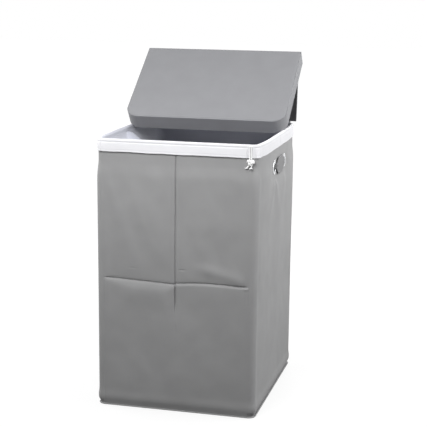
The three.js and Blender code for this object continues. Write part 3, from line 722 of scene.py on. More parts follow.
for wall, sign in (("front", -1), ("back", 1)):
    cloth_sheet(
        f"{wall}_lining_cloth", "body", f"{wall}_lining", lining_finish,
        end_lining(sign), END_LINING_CELLS, LINING, flip=sign > 0,
    )
for side_name, side in (("left", -1), ("right", 1)):
    lining = cloth_sheet(
        f"{side_name}_lining_cloth", "body", f"{side_name}_side_lining", lining_finish,
        side_lining(side), SIDE_LINING_CELLS, LINING, flip=side < 0,
    )
    cut_round_eyelets(lining, LINING_EYELET_CUT)


# Boards. Plain brown board stiffens the walls, the base, the divider and both lid panels. They keep
# their CAD shape and only get the finish of pressed pulp.
BOARD_BROWN = (0.42, 0.29, 0.17, 1)


def pressed_board(name, colour):
    material, tree, shader, place = new_material(name, colour, roughness=0.85)
    pulp = add_node(tree, "TexNoise", {"Vector": place, "Scale": 260, "Detail": 6}).outputs["Fac"]
    fill_inputs(tree, shader, {
        "Base Color": mottle(tree, pulp, tint(colour, 0.75), tint(colour, 1.15)),
        "Normal": bumps(tree, pulp, distance=0.0002, strength=0.3),
    })
    return material


board_finish = pressed_board("pressed_board", BOARD_BROWN)


def dress(node, finish):
    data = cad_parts[node].data
    data.materials.clear()
    data.materials.append(finish)


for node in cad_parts:
    if "board" in node:
        dress(node, board_finish)


# Bottom and foot welt. The bottom cloth closes the body, and a thin corded welt of the body cloth
# covers the seam all round the foot.
BOTTOM_CELLS = (109, 124)
WELT_RADIUS = 0.0015
WELT_Z = 0.0023
WELT_OUT = 0.0023
WELT_STEPS = 40
WELT_CORNER_STEPS = 6


def bottom_place(across, up):
    corner_x, corner_y = HALF_WIDTH - CORNER, HALF_DEPTH - CORNER
    x, y = from_middle(across, HALF_WIDTH), from_middle(up, HALF_DEPTH)
    over_x, over_y = abs(x) - corner_x, abs(y) - corner_y
    if over_x > 0 and over_y > 0:
        shrink = max(over_x, over_y) / math.hypot(over_x, over_y)
        x = math.copysign(corner_x + over_x * shrink, x)
        y = math.copysign(corner_y + over_y * shrink, y)
    return Vector((x, y, 0))


cloth_sheet(
    "bottom_cloth", "body", "bottom_cover", body_finish,
    bottom_place, BOTTOM_CELLS, CLOTH, flip=True,
)

welt_runs = {from_middle(step / WELT_STEPS, SIDE_RUN) for step in range(WELT_STEPS + 1)}
for step in range(1, WELT_CORNER_STEPS + 1):
    corner_run = STRAIGHT_Y + QUARTER_ARC * (step / WELT_CORNER_STEPS)
    welt_runs |= {corner_run, -corner_run}
welt_line = []
for side in (1, -1):
    for run in sorted(welt_runs, reverse=side < 0):
        welt_line.append(wall_place(run, WELT_Z, WELT_OUT, side))
welt = cord_curve("foot_welt", [welt_line], WELT_RADIUS, body_finish, cyclic=True)
fit(welt, "body", "foot_piping")


# Divider. A board between two cloths parts the bins, and a folded binding covers its top edge.
# Both cloths are sewn in at the side linings.
DIVIDER_FOOT = 0.005
DIVIDER_TOP = 0.596
DIVIDER_CELLS = (30, 40)
DIVIDER_CLOTH_Y = 0.00155
DIVIDER_CLOTH = 0.0009
DIVIDER_GAP = 0.0004
WALL_LAYERS = 0.0054
BINDING_CELLS = (120, 24)
BINDING_DEPTH = 0.012
BINDING_INNER = 0.00275
BINDING_CLOTH = 0.0008
BINDING_RISE = 0.0011


def inner_half_width(z):
    return HALF_WIDTH + bow(0, z) - WALL_LAYERS - DIVIDER_GAP


def divider_face(sign):
    def place(across, up):
        z = DIVIDER_FOOT + up * (DIVIDER_TOP - DIVIDER_FOOT)
        x = from_middle(across, inner_half_width(z))
        return Vector((x, sign * (DIVIDER_CLOTH_Y + DIVIDER_CLOTH), z))

    return place


for face_name, sign in (("front", -1), ("rear", 1)):
    cloth_sheet(
        f"divider_{face_name}_face", "body", f"divider_{face_name}_cloth",
        lining_finish, divider_face(sign), DIVIDER_CELLS, DIVIDER_CLOTH,
        flip=sign > 0,
    )


def binding_place(across, around):
    x = from_middle(across, inner_half_width(DIVIDER_TOP))
    reach = BINDING_INNER + BINDING_CLOTH
    quarter = reach * math.pi / 2
    run = from_middle(around, BINDING_DEPTH + quarter)
    if abs(run) < quarter:
        angle = run / reach
        return Vector((x, reach * math.sin(angle), DIVIDER_TOP + BINDING_RISE * math.cos(angle)))
    return Vector((x, math.copysign(reach, run), DIVIDER_TOP - (abs(run) - quarter)))


cloth_sheet(
    "divider_binding", "body", "divider_top_binding", lining_finish,
    binding_place, BINDING_CELLS, BINDING_CLOTH,
)


# Liner bags. Each bin holds a thin white woven bag that hangs a little loose from the rim on three
# sides and dips to the divider on the fourth. The bags are white, but they are given a bluish grey copy
# of the white weave as painted shade for the shadowed inside of the bins.
LINER_WHITE = (0.74, 0.74, 0.765, 1)
LINER_PAINTED_SHADE = (0.50, 0.51, 0.57, 1)
LINER = 0.001
LINER_CELLS = (240, 130)
LINER_CORNER = 0.022
LINER_FOOT = 0.005
LINER_TOP = 0.638
YARN_CYCLE = 6.28
LINER_NEAR = 0.00385
LINER_HANG_X = 0.1731
LINER_SEWN_X = 0.1827
LINER_HANG_Y = 0.2086
LINER_SEWN_Y = 0.2092
TURN_X = LINER_HANG_X - LINER_CORNER
NEAR_TURN_Y = LINER_NEAR + LINER_CORNER
FAR_TURN_Y = LINER_HANG_Y - LINER_CORNER
BIN_MIDDLE_Y = (LINER_NEAR + LINER_HANG_Y) / 2


def fine_weave(name, colour, pitch):
    """Two sets of yarns at right angles, with the faintest clouds of shade."""
    material, tree, shader, place = new_material(name, colour, roughness=0.62)
    yarns = []
    for direction in ("X", "Z"):
        yarn = {"Vector": place, "Scale": 1 / pitch / YARN_CYCLE, "Distortion": 0.6}
        yarns.append(add_node(tree, "TexWave", yarn, bands_direction=direction).outputs["Fac"])
    cloud = add_node(tree, "TexNoise", {"Vector": place, "Scale": 18})
    fill_inputs(tree, shader, {
        "Base Color": mottle(tree, cloud.outputs["Fac"], tint(colour, 0.96), colour, start=0.3, end=0.7),
        "Sheen Weight": 0.25,
        "Normal": bumps(tree, sum_of(tree, *yarns), distance=0.00012, strength=0.25),
    })
    return material


liner_finish = fine_weave("band_weave", LINER_WHITE, 0.0006)
# The same weave in bluish grey is painted shade: it stands for the white liner cloth in the shadow of
# the bins.
liner_shade_finish = fine_weave("liner_painted_shade_weave", LINER_PAINTED_SHADE, 0.0009)


def bag_plan(share):
    """The bag's outline in plan at a share of the way round, from the middle of the divider side."""
    arc = LINER_CORNER * math.pi / 2
    runs = [TURN_X, arc, FAR_TURN_Y - NEAR_TURN_Y, arc, TURN_X]
    side = 1 if share <= 0.5 else -1
    run = (share if share <= 0.5 else 1 - share) * 2 * sum(runs)
    if run <= runs[0]:
        x, y = run, LINER_NEAR
    elif run <= sum(runs[:2]):
        angle = (run - runs[0]) / LINER_CORNER
        x, y = TURN_X + LINER_CORNER * math.sin(angle), NEAR_TURN_Y - LINER_CORNER * math.cos(angle)
    elif run <= sum(runs[:3]):
        x, y = LINER_HANG_X, NEAR_TURN_Y + run - sum(runs[:2])
    elif run <= sum(runs[:4]):
        angle = (run - sum(runs[:3])) / LINER_CORNER
        x, y = TURN_X + LINER_CORNER * math.cos(angle), FAR_TURN_Y + LINER_CORNER * math.sin(angle)
    else:
        x, y = TURN_X - (run - sum(runs[:4])), LINER_HANG_Y
    return side * x, y


LINER_DIP = 0.056
LINER_DIP_X = (0.006, 0.060)
LINER_DIP_Y = (0.002, 0.014)


def bag_height(x, y, share):
    """The height of a place on the bag's wall, whose mouth dips along the divider."""
    near_side = 1 - step_up(y, LINER_NEAR + LINER_DIP_Y[0], LINER_NEAR + LINER_DIP_Y[1])
    drop = LINER_DIP * near_side * step_up(LINER_HANG_X - abs(x), *LINER_DIP_X)
    return LINER_FOOT + (LINER_TOP - drop - LINER_FOOT) * share


LINER_FLOOR_SHARE = 0.1
LINER_DRAWN_Z = (LINER_TOP - 0.046, LINER_TOP)
LINER_LOOSE_Z = (0.01, 0.06)
LINER_LOOSE_Y = (LINER_NEAR, 0.03)
LINER_FOLDS = ((0.45, 22, 0.006), (0.3, 60, 0.002))
LINER_DEEP_SHARE = 0.6
LINER_CALM_MIDDLE = 0.05


def bag_place(sign):
    def place(around, up):
        x, y = bag_plan(around)
        if up < LINER_FLOOR_SHARE:
            inside = max(up, 0) / LINER_FLOOR_SHARE
            return Vector((x * inside, sign * (BIN_MIDDLE_Y + (y - BIN_MIDDLE_Y) * inside), LINER_FOOT))
        z = bag_height(x, y, (up - LINER_FLOOR_SHARE) / (1 - LINER_FLOOR_SHARE))
        drawn = step_up(z, *LINER_DRAWN_Z)
        if abs(x) > TURN_X and y < NEAR_TURN_Y:
            over_x, over_y = (abs(x) - TURN_X) / LINER_CORNER, (NEAR_TURN_Y - y) / LINER_CORNER
            square = 1 + drawn * (1 / max(over_x, over_y) - 1)
            x = math.copysign(TURN_X + over_x * square * LINER_CORNER, x)
            y = NEAR_TURN_Y - over_y * square * LINER_CORNER
        loose = (1 - drawn) * step_up(z, *LINER_LOOSE_Z) * step_up(y, *LINER_LOOSE_Y)
        folds = sum(max(0, slack(x, sign + y, z * drawl, grain, depth))
                    for drawl, grain, depth in LINER_FOLDS)
        inward = loose * folds / max(abs(x), abs(y), LINER_CALM_MIDDLE)
        out_x = (LINER_SEWN_X - LINER_HANG_X + bow(y, z)) * drawn
        far = max(0, y - NEAR_TURN_Y) / (LINER_HANG_Y - NEAR_TURN_Y)
        out_y = (LINER_SEWN_Y - LINER_HANG_Y) * drawn * far
        x += out_x * x / LINER_HANG_X
        x -= x * inward
        y += out_y - (y - BIN_MIDDLE_Y) * inward * LINER_DEEP_SHARE
        return Vector((x, sign * y, z))

    return place


for bag, sign in (("front", -1), ("rear", 1)):
    cloth_sheet(
        f"{bag}_liner_sack", "body", f"{bag}_liner_bag", liner_shade_finish,
        bag_place(sign), LINER_CELLS, LINER, flip=sign < 0, close=True,
    )


# Liner hems. The bag's mouth is folded over the rim on three sides as a white band with a drawstring
# channel under its fold, and the two bands meet at mid-depth.
HEM_CELLS = (460, 60)
HEM_FOOT = 0.620
HEM_INNER_FOOT = 0.625
HEM_CLOTH = 0.0012
HEM_SPRING_Z = 0.6456
HEM_ARCH = 0.0044
HEM_MIDDLE = -0.0027
HEM_REACH = 0.0042
HEM_MEET = 0.0005


def hem_profile(share):
    """Out of the wall and height along the band, from its outer foot over the fold to its inner foot."""
    outer, inner = HEM_SPRING_Z - HEM_FOOT, HEM_SPRING_Z - HEM_INNER_FOOT
    arc = math.pi * (HEM_REACH + HEM_ARCH) / 2
    run = share * (outer + arc + inner)
    if run <= outer:
        return HEM_MIDDLE + HEM_REACH, HEM_FOOT + run, 1
    if run <= outer + arc:
        angle = (run - outer) / arc * math.pi
        facing = math.cos(angle)
        return HEM_MIDDLE + HEM_REACH * facing, HEM_SPRING_Z + HEM_ARCH * math.sin(angle), facing
    return HEM_MIDDLE - HEM_REACH, HEM_SPRING_Z - (run - outer - arc), -1


def rim_place(run, z, out, sign):
    """A place round one bag's half of the rim, from mid-depth on the right to mid-depth on the left."""
    half = SIDE_RUN + (HALF_WIDTH - CORNER) - HEM_MEET
    travel = from_middle(run, half)
    side = -1 if travel > 0 else 1
    along = HEM_MEET + half - abs(travel)
    return wall_place(-along if sign < 0 else along, z, out, side)


def rim_noise(spot, grain, layer):
    return noise.noise(Vector((spot.x * grain, spot.y * grain, layer)))


HEM_PUFF = 0.0012
HEM_PUFF_GRAIN = 16
HEM_FULLNESS = 0.7
HEM_RIPPLE = 0.0006
HEM_RIPPLE_GRAIN = (55, 45)
HEM_LIP = 0.0006
HEM_FLARE = 0.0021
HEM_SIDE_SHARE = 0.42
HEM_SIDE_FROM = (0.002, 0.03)
HEM_BACK_Y = (HALF_DEPTH - 0.0045, HALF_DEPTH - 0.0015)
CASING_Z = 0.6425
CASING_DEPTH = 0.0009
CASING_REACH = 0.0011
CASING_ROLL = 0.0005
CASING_ROLL_Z = (CASING_Z + 0.004, 0.0025)
STITCH_DEPTH = 0.0004
STITCH_Z = (0.6245, 0.0007)
UNDER_CORD = (0.0045, 0.012)
UNDER_CORD_SINK = 0.0002


def hem_puff(spot, z, height, sign):
    """How far the band's outer face stands out: soft and rippled, drawn in at its two seams and
    flared at its foot, less along the sides, and flat under the lid flap and under the cord."""
    soft = 0.5 + 0.5 * rim_noise(spot, HEM_PUFF_GRAIN, layer=3)
    ripple = 0.5 + 0.5 * rim_noise(spot, HEM_RIPPLE_GRAIN[0], layer=z * HEM_RIPPLE_GRAIN[1])
    puff = (HEM_PUFF * soft + HEM_RIPPLE * ripple) * math.sin(math.pi * height) ** HEM_FULLNESS
    flare = HEM_LIP * (1 - height) + HEM_FLARE * (1 - height) ** 2
    puff += flare - CASING_DEPTH * swell(z, CASING_Z, CASING_REACH)
    puff += CASING_ROLL * swell(z, *CASING_ROLL_Z) - STITCH_DEPTH * swell(z, *STITCH_Z)
    puff *= 1 - (1 - HEM_SIDE_SHARE) * step_up(HALF_DEPTH - abs(spot.y), *HEM_SIDE_FROM)
    puff *= 1 - step_up(spot.y, *HEM_BACK_Y)
    if sign < 0 and spot.y < -STRAIGHT_Y:
        under_cord = 1 - step_up(abs(spot.x - CORD_EXIT_X), *UNDER_CORD)
        puff = puff * (1 - under_cord) - UNDER_CORD_SINK * under_cord
    return puff


HEM_WANDER = 0.0012
HEM_WANDER_GRAIN = 22
HEM_INNER_SLACK = 0.0008
HEM_INNER_GRAIN = 30
HEM_SHADE_FACING = -0.05


def hem_place(sign):
    def place(around, over):
        out, z, facing = hem_profile(over)
        spot = rim_place(around, z, 0, sign)
        if facing > 0:
            height = min(1, max(0, (z - HEM_FOOT) / (HEM_SPRING_Z - HEM_FOOT)))
            out += hem_puff(spot, z, height, sign)
            z -= HEM_WANDER * (1 - height) * rim_noise(spot, HEM_WANDER_GRAIN, layer=8)
        elif facing == -1:
            out -= HEM_INNER_SLACK * (0.5 + 0.5 * rim_noise(spot, HEM_INNER_GRAIN, layer=5))
        return rim_place(around, z, out, sign)

    return place


for bag, sign in (("front", -1), ("rear", 1)):
    band = cloth_sheet(
        f"{bag}_hem_band", "body", f"{bag}_liner_hem", liner_finish,
        hem_place(sign), HEM_CELLS, HEM_CLOTH, flip=sign < 0,
    )
    # The band's faces that turn in towards the bin get the grey copy of the liner weave, as painted
    # shade.
    band.data.materials.append(liner_shade_finish)
    for face in band.data.polygons:
        spot = face.center
        along_side = abs(spot.x) / HALF_WIDTH > abs(spot.y) / HALF_DEPTH
        outward = Vector((math.copysign(1, spot.x), 0, 0)) if along_side else Vector((0, sign, 0))
        if face.normal.dot(outward) < HEM_SHADE_FACING:
            face.material_index = 1
dress("front_drawstring", cord_finish)


# Eyelets. Two-part plated steel: a rolled flange outside with its barrel through the wall, and a
# flat washer inside.
METAL = (0.72, 0.73, 0.75, 1)
EYELET_HOLE = 0.010
EYELET_BARREL = 0.0108
EYELET_FLANGE = 0.017
EYELET_RISE = 0.0014
EYELET_SEAT = 0.0003
EYELET_DEPTH = 0.0067
EYELET_ROLL_STEPS = 12
EYELET_STEPS = 64


def plated(name, colour):
    material, tree, shader, place = new_material(name, colour, roughness=0.16)
    wear = add_node(tree, "TexNoise", {"Vector": place, "Scale": 220, "Detail": 4}).outputs["Fac"]
    polish = add_node(tree, "MapRange", {"Value": wear, "To Min": 0.12, "To Max": 0.26})
    fill_inputs(tree, shader, {"Metallic": 1, "Roughness": polish.outputs["Result"]})
    return material


metal_finish = plated("plated_metal", METAL)


def eyelet(name, side, end):
    """Its section is spun round the hole, and the ring is then laid on the side wall."""
    mesh = bmesh.new()
    profile = [
        (EYELET_BARREL, -EYELET_DEPTH), (EYELET_HOLE, -EYELET_DEPTH), (EYELET_HOLE, EYELET_SEAT),
    ]
    middle, reach = (EYELET_HOLE + EYELET_FLANGE) / 2, (EYELET_FLANGE - EYELET_HOLE) / 2
    for step in range(1, EYELET_ROLL_STEPS + 1):
        angle = math.pi * step / EYELET_ROLL_STEPS
        height = EYELET_SEAT + EYELET_RISE * math.sin(angle)
        profile.append((middle - reach * math.cos(angle), height))
    profile.append((EYELET_BARREL, EYELET_SEAT))
    line = [mesh.verts.new((radius, 0, height)) for radius, height in profile]
    edges = [mesh.edges.new((a, b)) for a, b in zip(line, line[1:] + line[:1])]
    bmesh.ops.spin(
        mesh, geom=line + edges, cent=(0, 0, 0), axis=(0, 0, 1), angle=2 * math.pi,
        steps=EYELET_STEPS, use_merge=True,
    )
    bmesh.ops.remove_doubles(mesh, verts=mesh.verts, dist=MERGE)
    bmesh.ops.recalc_face_normals(mesh, faces=mesh.faces)
    for vertex in mesh.verts:
        across, up, out = vertex.co
        x, y = side * (HALF_WIDTH + BOW + out), end * EYELET_Y + side * across
        vertex.co = (x, y, EYELET_Z + up)
    return smooth_object(name, mesh, metal_finish)


for side_name, side in (("left", -1), ("right", 1)):
    for end_name, end in (("front", -1), ("rear", 1)):
        ring = eyelet(f"{side_name}_{end_name}_eyelet_ring", side, end)
        fit(ring, "body", f"{side_name}_{end_name}_eyelet")
        dress(f"{side_name}_{end_name}_washer", metal_finish)


# Strap handles. A doubled band of the body cloth lies flat between the eyelets, is gathered to go
# through them, and is held inside by a sewn stop on each end. Its grey is darker than the body cloth's,
# as painted shade.
STRAP_SHADED_GREY = (0.235, 0.235, 0.24, 1)
STRAP_CELLS = (130, 64)
STRAP_WIDTH = 0.042
STRAP_THICK = 0.0024
NECK_WIDTH = 0.0110
NECK_THICK = 0.0032
NECK_Y = 0.0506
STRAP_BULGE = 0.0031
STRAP_BEND = 0.0026
STRAP_BEND_Y = 0.0006
STRAP_GATHER = 0.030
STRAP_INSIDE = 0.015
# The body cloth in a darker grey, as painted shade on the strap and its stops.
strap_shade_finish = non_woven("strap_painted_shade_non_woven", STRAP_SHADED_GREY)


CREASE_DEPTH = 0.0007
CREASE_GRAIN = 1500
EDGE_WELT = 0.0004
EDGE_WELT_IN = 0.003
EDGE_WELT_REACH = 0.0012
EDGE_STITCH = 0.0002
EDGE_STITCH_IN = 0.0055
EDGE_STITCH_REACH = 0.0006


def strap_section(around, flat):
    """A point of the strap's oblong section, from its gathered neck, flat 0, to its middle, flat 1."""
    width = NECK_WIDTH + (STRAP_WIDTH - NECK_WIDTH) * flat
    thick = NECK_THICK + (STRAP_THICK - NECK_THICK) * flat
    angle = around * 2 * math.pi
    up, out = math.sin(angle), math.cos(angle)
    lift = math.copysign(math.sqrt(abs(up)), up) * width / 2
    deep = math.copysign(math.sqrt(abs(out)), out) * thick / 2
    crease = CREASE_DEPTH * ((1 - flat) * flat * 4) * math.sin(lift * CREASE_GRAIN)
    bead = EDGE_WELT * flat * swell(abs(lift), width / 2 - EDGE_WELT_IN, EDGE_WELT_REACH)
    stitch = -EDGE_STITCH * flat * swell(abs(lift), width / 2 - EDGE_STITCH_IN, EDGE_STITCH_REACH)
    return deep + math.copysign(1, deep) * (crease + bead + stitch), lift


STRAP_STEPS = 12
STRAP_SLANT = 0.7
STRAP_STRAIGHT = 0.4
STRAP_ROUND = 0.25
STRAP_END_SHARE = 1e-4
TINY = 1e-9


def strap_loop(side):
    """From its stop inside, the strap slants to the eyelet, goes straight through it, bends round and
    lies along the wall, and then the same back. It is closed to a point at each end."""
    half = [
        Vector((-STRAP_INSIDE, EYELET_Y, 0)),
        Vector((-STRAP_INSIDE * STRAP_SLANT, (EYELET_Y + NECK_Y) / 2, 0)),
        Vector((-STRAP_INSIDE * STRAP_STRAIGHT, NECK_Y, 0)),
        Vector((0, NECK_Y, 0)),
        Vector((STRAP_BULGE - STRAP_BEND, NECK_Y - STRAP_BEND_Y, 0)),
        Vector((STRAP_BULGE - STRAP_BEND * STRAP_ROUND, NECK_Y - STRAP_BEND * (1 - STRAP_ROUND), 0)),
        Vector((STRAP_BULGE, NECK_Y - 2 * STRAP_BEND, 0)),
    ]
    marks = [*half, Vector((STRAP_BULGE, 0, 0)), *(Vector((p.x, -p.y, 0)) for p in reversed(half))]
    line = smooth_route(marks, STRAP_STEPS)
    lengths = [0]
    for a, b in zip(line, line[1:]):
        lengths.append(lengths[-1] + (b - a).length)

    def place(along, around):
        want = along * lengths[-1]
        k = max(i for i, length in enumerate(lengths[:-1]) if length <= want + TINY)
        part = (want - lengths[k]) / max(lengths[k + 1] - lengths[k], TINY)
        centre = line[k].lerp(line[k + 1], part)
        ahead = (line[k + 1] - line[k]).normalized()
        across = Vector((-ahead.y, ahead.x, 0))
        deep, lift = strap_section(around, step_up(NECK_Y - abs(centre.y), 0, STRAP_GATHER))
        opened = 0 if min(along, 1 - along) < STRAP_END_SHARE else 1
        point = centre + across * deep * opened
        return Vector((side * (HALF_WIDTH + BOW + point.x), point.y, EYELET_Z + lift * opened))

    return place


for side_name, side in (("left", -1), ("right", 1)):
    cloth_sheet(
        f"{side_name}_strap", f"{side_name}_handle", f"{side_name}_handle_strap",
        strap_shade_finish, strap_loop(side), STRAP_CELLS, 0, flip=side > 0, close=True,
    )
    for end_name in ("front", "rear"):
        dress(f"{side_name}_{end_name}_strap_stop", strap_shade_finish)


# Lid flap. A strip of lid cloth sewn to the back wall below the hem carries the lid, with a corded
# seam at its foot and at its top.
LID_GREY = (0.276, 0.278, 0.291, 1)
FLAP_CELLS = (90, 24)
FLAP_HALF = 0.183
FLAP_INNER_Y = 0.2188
FLAP_FOOT = 0.6084
FLAP_TOP = 0.6501
FLAP_STITCH_Z = (FLAP_FOOT + 0.004, 0.0008)
SEAM_Y = 0.2183
SEAM_Z = 0.607
SEAM_RADIUS = 0.001
SEAM_STEPS = 40
HINGE_Y = 0.2195
HINGE_Z = 0.652
PIPING_RADIUS = 0.0016
PRESSED_STITCH = 0.0003
lid_finish = non_woven("lid_non_woven", LID_GREY)


def flap_place(across, up):
    x = from_middle(across, FLAP_HALF)
    z = FLAP_FOOT + up * (FLAP_TOP - FLAP_FOOT)
    stitch = -PRESSED_STITCH * swell(z, *FLAP_STITCH_Z)
    return Vector((x, FLAP_INNER_Y + CLOTH + stitch, z))


cloth_sheet(
    "lid_flap_cloth", "lid_flap", "lid_rear_flap", lid_finish,
    flap_place, FLAP_CELLS, CLOTH, flip=True,
)


def corded_seam(name, body, node, finish, y, z, radius, half):
    line = [Vector((half * (2 * step / SEAM_STEPS - 1), y, z)) for step in range(SEAM_STEPS + 1)]
    fit(cord_curve(name, [line], radius, finish), body, node)


corded_seam("flap_foot_seam", "body", "lid_flap_seam", body_finish,
            SEAM_Y, SEAM_Z, SEAM_RADIUS, FLAP_HALF)
corded_seam("flap_top_seam", "lid_flap", "lid_rear_piping", lid_finish,
            HINGE_Y, HINGE_Z, PIPING_RADIUS, FLAP_HALF)


# Rear lid panel. Board between a top cloth and a darker underside, leaning a little back as it
# stands open; the fold to the front panel runs along its far edge.
LEAN = math.radians(7)
REAR_LENGTH = 0.178
REAR_HALF = 0.197
REAR_TOP_CELLS = (150, 70)
REAR_UNDER_CELLS = (110, 50)
REAR_TOP_SINK = 0.0008
REAR_WAVE = (12, 0.0005)
REAR_SHIFT = 2
END_GAP = 0.0019
TURNED_EDGE = 0.0037
LID_UNDER = 0.0008
LID_THICK = 0.0055
LID_TOP = 0.0011
UNDER_SINK = -0.0003


def rear_frame(x, along, lift):
    """A place on the rear panel: along it from the hinge to the fold, lift towards its top cloth."""
    direction = Vector((0, math.sin(LEAN), math.cos(LEAN)))
    upward = Vector((0, math.cos(LEAN), -math.sin(LEAN)))
    return Vector((x, HINGE_Y, HINGE_Z)) + direction * along + upward * lift


EDGE_ROLL = 0.004
EDGE_SLACK_FROM = 0.03
LID_STITCH = (0.007, 0.0009)


def panel_lift(lift, sink, edge, wave):
    """A panel's cloth sinks at its edges, has a stitch line inside them, and gives only inwards."""
    side = math.copysign(1, sink)
    soft = sink * (1 - step_up(edge, 0, EDGE_ROLL))
    groove = side * PRESSED_STITCH * swell(edge, *LID_STITCH)
    give = min(side * wave * step_up(edge, EDGE_ROLL, EDGE_SLACK_FROM), 0)
    return lift - soft - groove + side * give


def rear_sheet(lift, sink):
    def place(across, up):
        along = END_GAP + up * (REAR_LENGTH - 2 * END_GAP)
        x = from_middle(across, REAR_HALF)
        edge = min(REAR_HALF - abs(x), along - END_GAP, REAR_LENGTH - END_GAP - along)
        wave = slack(x, REAR_SHIFT, along, *REAR_WAVE)
        return rear_frame(x, along, panel_lift(lift, sink, edge, wave))

    return place


def rear_turn(spot):
    """Every edge of the rear top cloth is turned down over the board."""
    return rear_frame(0, 0, -TURNED_EDGE) - rear_frame(0, 0, 0)


cloth_sheet(
    "lid_rear_top", "lid_rear_panel", "lid_rear_top_cloth", lid_finish,
    rear_sheet(LID_THICK, REAR_TOP_SINK), REAR_TOP_CELLS, LID_TOP,
    flip=True, turn=rear_turn,
)
cloth_sheet(
    "lid_rear_lining", "lid_rear_panel", "lid_rear_underside", lining_finish,
    rear_sheet(0, UNDER_SINK), REAR_UNDER_CELLS, LID_UNDER,
)
FOLD = rear_frame(0, REAR_LENGTH, 0)
corded_seam("lid_fold_seam", "lid_rear_panel", "lid_fold_piping", lid_finish,
            FOLD.y, FOLD.z, PIPING_RADIUS, REAR_HALF)


# Front lid panel. The same board and cloths, wider than the body, with two round front corners and a
# skirt of doubled cloth sewn round its free edges.
SLOPE = math.radians(36.3)
FRONT_LENGTH = 0.265
FRONT_HALF = 0.203
FRONT_CORNER = 0.032
FRONT_TOP_CELLS = (160, 120)
FRONT_UNDER_CELLS = (110, 80)
FRONT_TOP_SINK = 0.0010
FRONT_WAVE = (11, 0.0006)
FRONT_SHIFT = 5
FRONT_UNDER_INSET = 0.0017
FRONT_STRAIGHT_SHARE = 0.7
FOLD_EDGE = END_GAP + 1e-5
SKIRT_CELLS = (420, 24)
SKIRT_CLOTH = 0.0014
SKIRT_DEPTH = 0.040


def front_frame(x, along, lift):
    """A place on the front panel: along it from the fold to its edge, lift towards its top cloth."""
    direction = Vector((0, -math.cos(SLOPE), -math.sin(SLOPE)))
    upward = Vector((0, -math.sin(SLOPE), math.cos(SLOPE)))
    return Vector((x, FOLD.y, FOLD.z)) + direction * along + upward * lift


def front_half_width(along, inset):
    from_edge = FRONT_LENGTH - inset - along
    radius = FRONT_CORNER - inset
    if from_edge >= radius:
        return FRONT_HALF - inset
    return FRONT_HALF - inset - radius + math.sqrt(max(0, radius**2 - (radius - from_edge) ** 2))


def front_sheet(lift, sink, inset):
    def place(across, up):
        length = FRONT_LENGTH - inset - END_GAP
        radius = FRONT_CORNER - inset
        if up < FRONT_STRAIGHT_SHARE:
            along = END_GAP + up / FRONT_STRAIGHT_SHARE * (length - radius)
        else:
            angle = (up - FRONT_STRAIGHT_SHARE) / (1 - FRONT_STRAIGHT_SHARE) * math.pi / 2
            along = END_GAP + length - radius + radius * math.sin(angle)
        half = front_half_width(along, inset)
        x = from_middle(across, half)
        edge = min(half - abs(x), along - END_GAP, FRONT_LENGTH - inset - along)
        wave = slack(x, FRONT_SHIFT, along, *FRONT_WAVE)
        return front_frame(x, along, panel_lift(lift, sink, edge, wave))

    return place


def front_turn(spot):
    """Only the edge at the fold is turned down; the skirt closes the other three."""
    fold = front_frame(0, 0, 0)
    from_fold = (spot - fold).dot(front_frame(0, 1, 0) - fold)
    return front_frame(0, 0, -TURNED_EDGE) - fold if from_fold < FOLD_EDGE else None


cloth_sheet(
    "lid_front_top", "lid_front_panel", "lid_front_top_cloth", lid_finish,
    front_sheet(LID_THICK, FRONT_TOP_SINK, 0), FRONT_TOP_CELLS, LID_TOP,
    turn=front_turn,
)
cloth_sheet(
    "lid_front_lining", "lid_front_panel", "lid_front_underside", lining_finish,
    front_sheet(0, UNDER_SINK, FRONT_UNDER_INSET), FRONT_UNDER_CELLS, LID_UNDER,
    flip=True,
)


def skirt_station(around):
    """A place round the free edges, from the fold on the left to the fold on the right: x, along and
    the outward direction."""
    side_run = FRONT_LENGTH - FRONT_CORNER - END_GAP
    arc = FRONT_CORNER * math.pi / 2
    end_run = FRONT_HALF - FRONT_CORNER
    half = side_run + arc + end_run
    travel = from_middle(around, half)
    run = half - abs(travel)
    if run <= side_run:
        x, along, nx, ny = FRONT_HALF, END_GAP + run, 1, 0
    elif run <= side_run + arc:
        angle = (run - side_run) / FRONT_CORNER
        nx, ny = math.cos(angle), math.sin(angle)
        x = FRONT_HALF - FRONT_CORNER * (1 - nx)
        along = FRONT_LENGTH - FRONT_CORNER * (1 - ny)
    else:
        x, along, nx, ny = end_run - (run - side_run - arc), FRONT_LENGTH, 0, 1
    return math.copysign(1, travel), x, along, nx, ny


SKIRT_GAP = 0.0003
SKIRT_STITCH = (0.006, 0.0008)
SKIRT_WAVE = 0.0004
SKIRT_GRAIN = 14
SKIRT_SHIFT = 4


def skirt_place(around, down):
    side, x, along, nx, ny = skirt_station(around)
    top = LID_THICK - LID_TOP - SKIRT_GAP
    foot = LID_THICK - SKIRT_DEPTH
    lift = foot + (1 - down) * (top - foot)
    stitch = PRESSED_STITCH * swell(lift, foot + SKIRT_STITCH[0], SKIRT_STITCH[1])
    ripple = noise.noise(Vector((side * x * SKIRT_GRAIN, along * SKIRT_GRAIN, SKIRT_SHIFT)))
    out = -stitch - abs(SKIRT_WAVE * down * ripple)
    return front_frame(side * (x + nx * out), along + ny * out, lift)


cloth_sheet(
    "lid_skirt", "lid_front_panel", "lid_front_skirt", lid_finish,
    skirt_place, SKIRT_CELLS, SKIRT_CLOTH,
)


# Floor. A plain pale ground that keeps only a soft shadow of the hamper. It is white to the camera
# and in reflections, and a little less so close to the foot.
FLOOR_GREY = (0.14, 0.14, 0.14, 1)
FLOOR_SIZE = 14
FLOOR_Z = -0.0005
FLOOR_NEAR = 0.5
FLOOR_FAR = 2.2
FLOOR_NEAR_LEVEL = 0.84


def seen_straight(tree):
    """1 where the camera or a reflection looks at a surface, and 0 for all other light."""
    path = add_node(tree, "LightPath", {}).outputs
    rays = {0: path["Is Camera Ray"], 1: path["Is Glossy Ray"]}
    return add_node(tree, "Math", rays, operation="MAXIMUM").outputs["Value"]


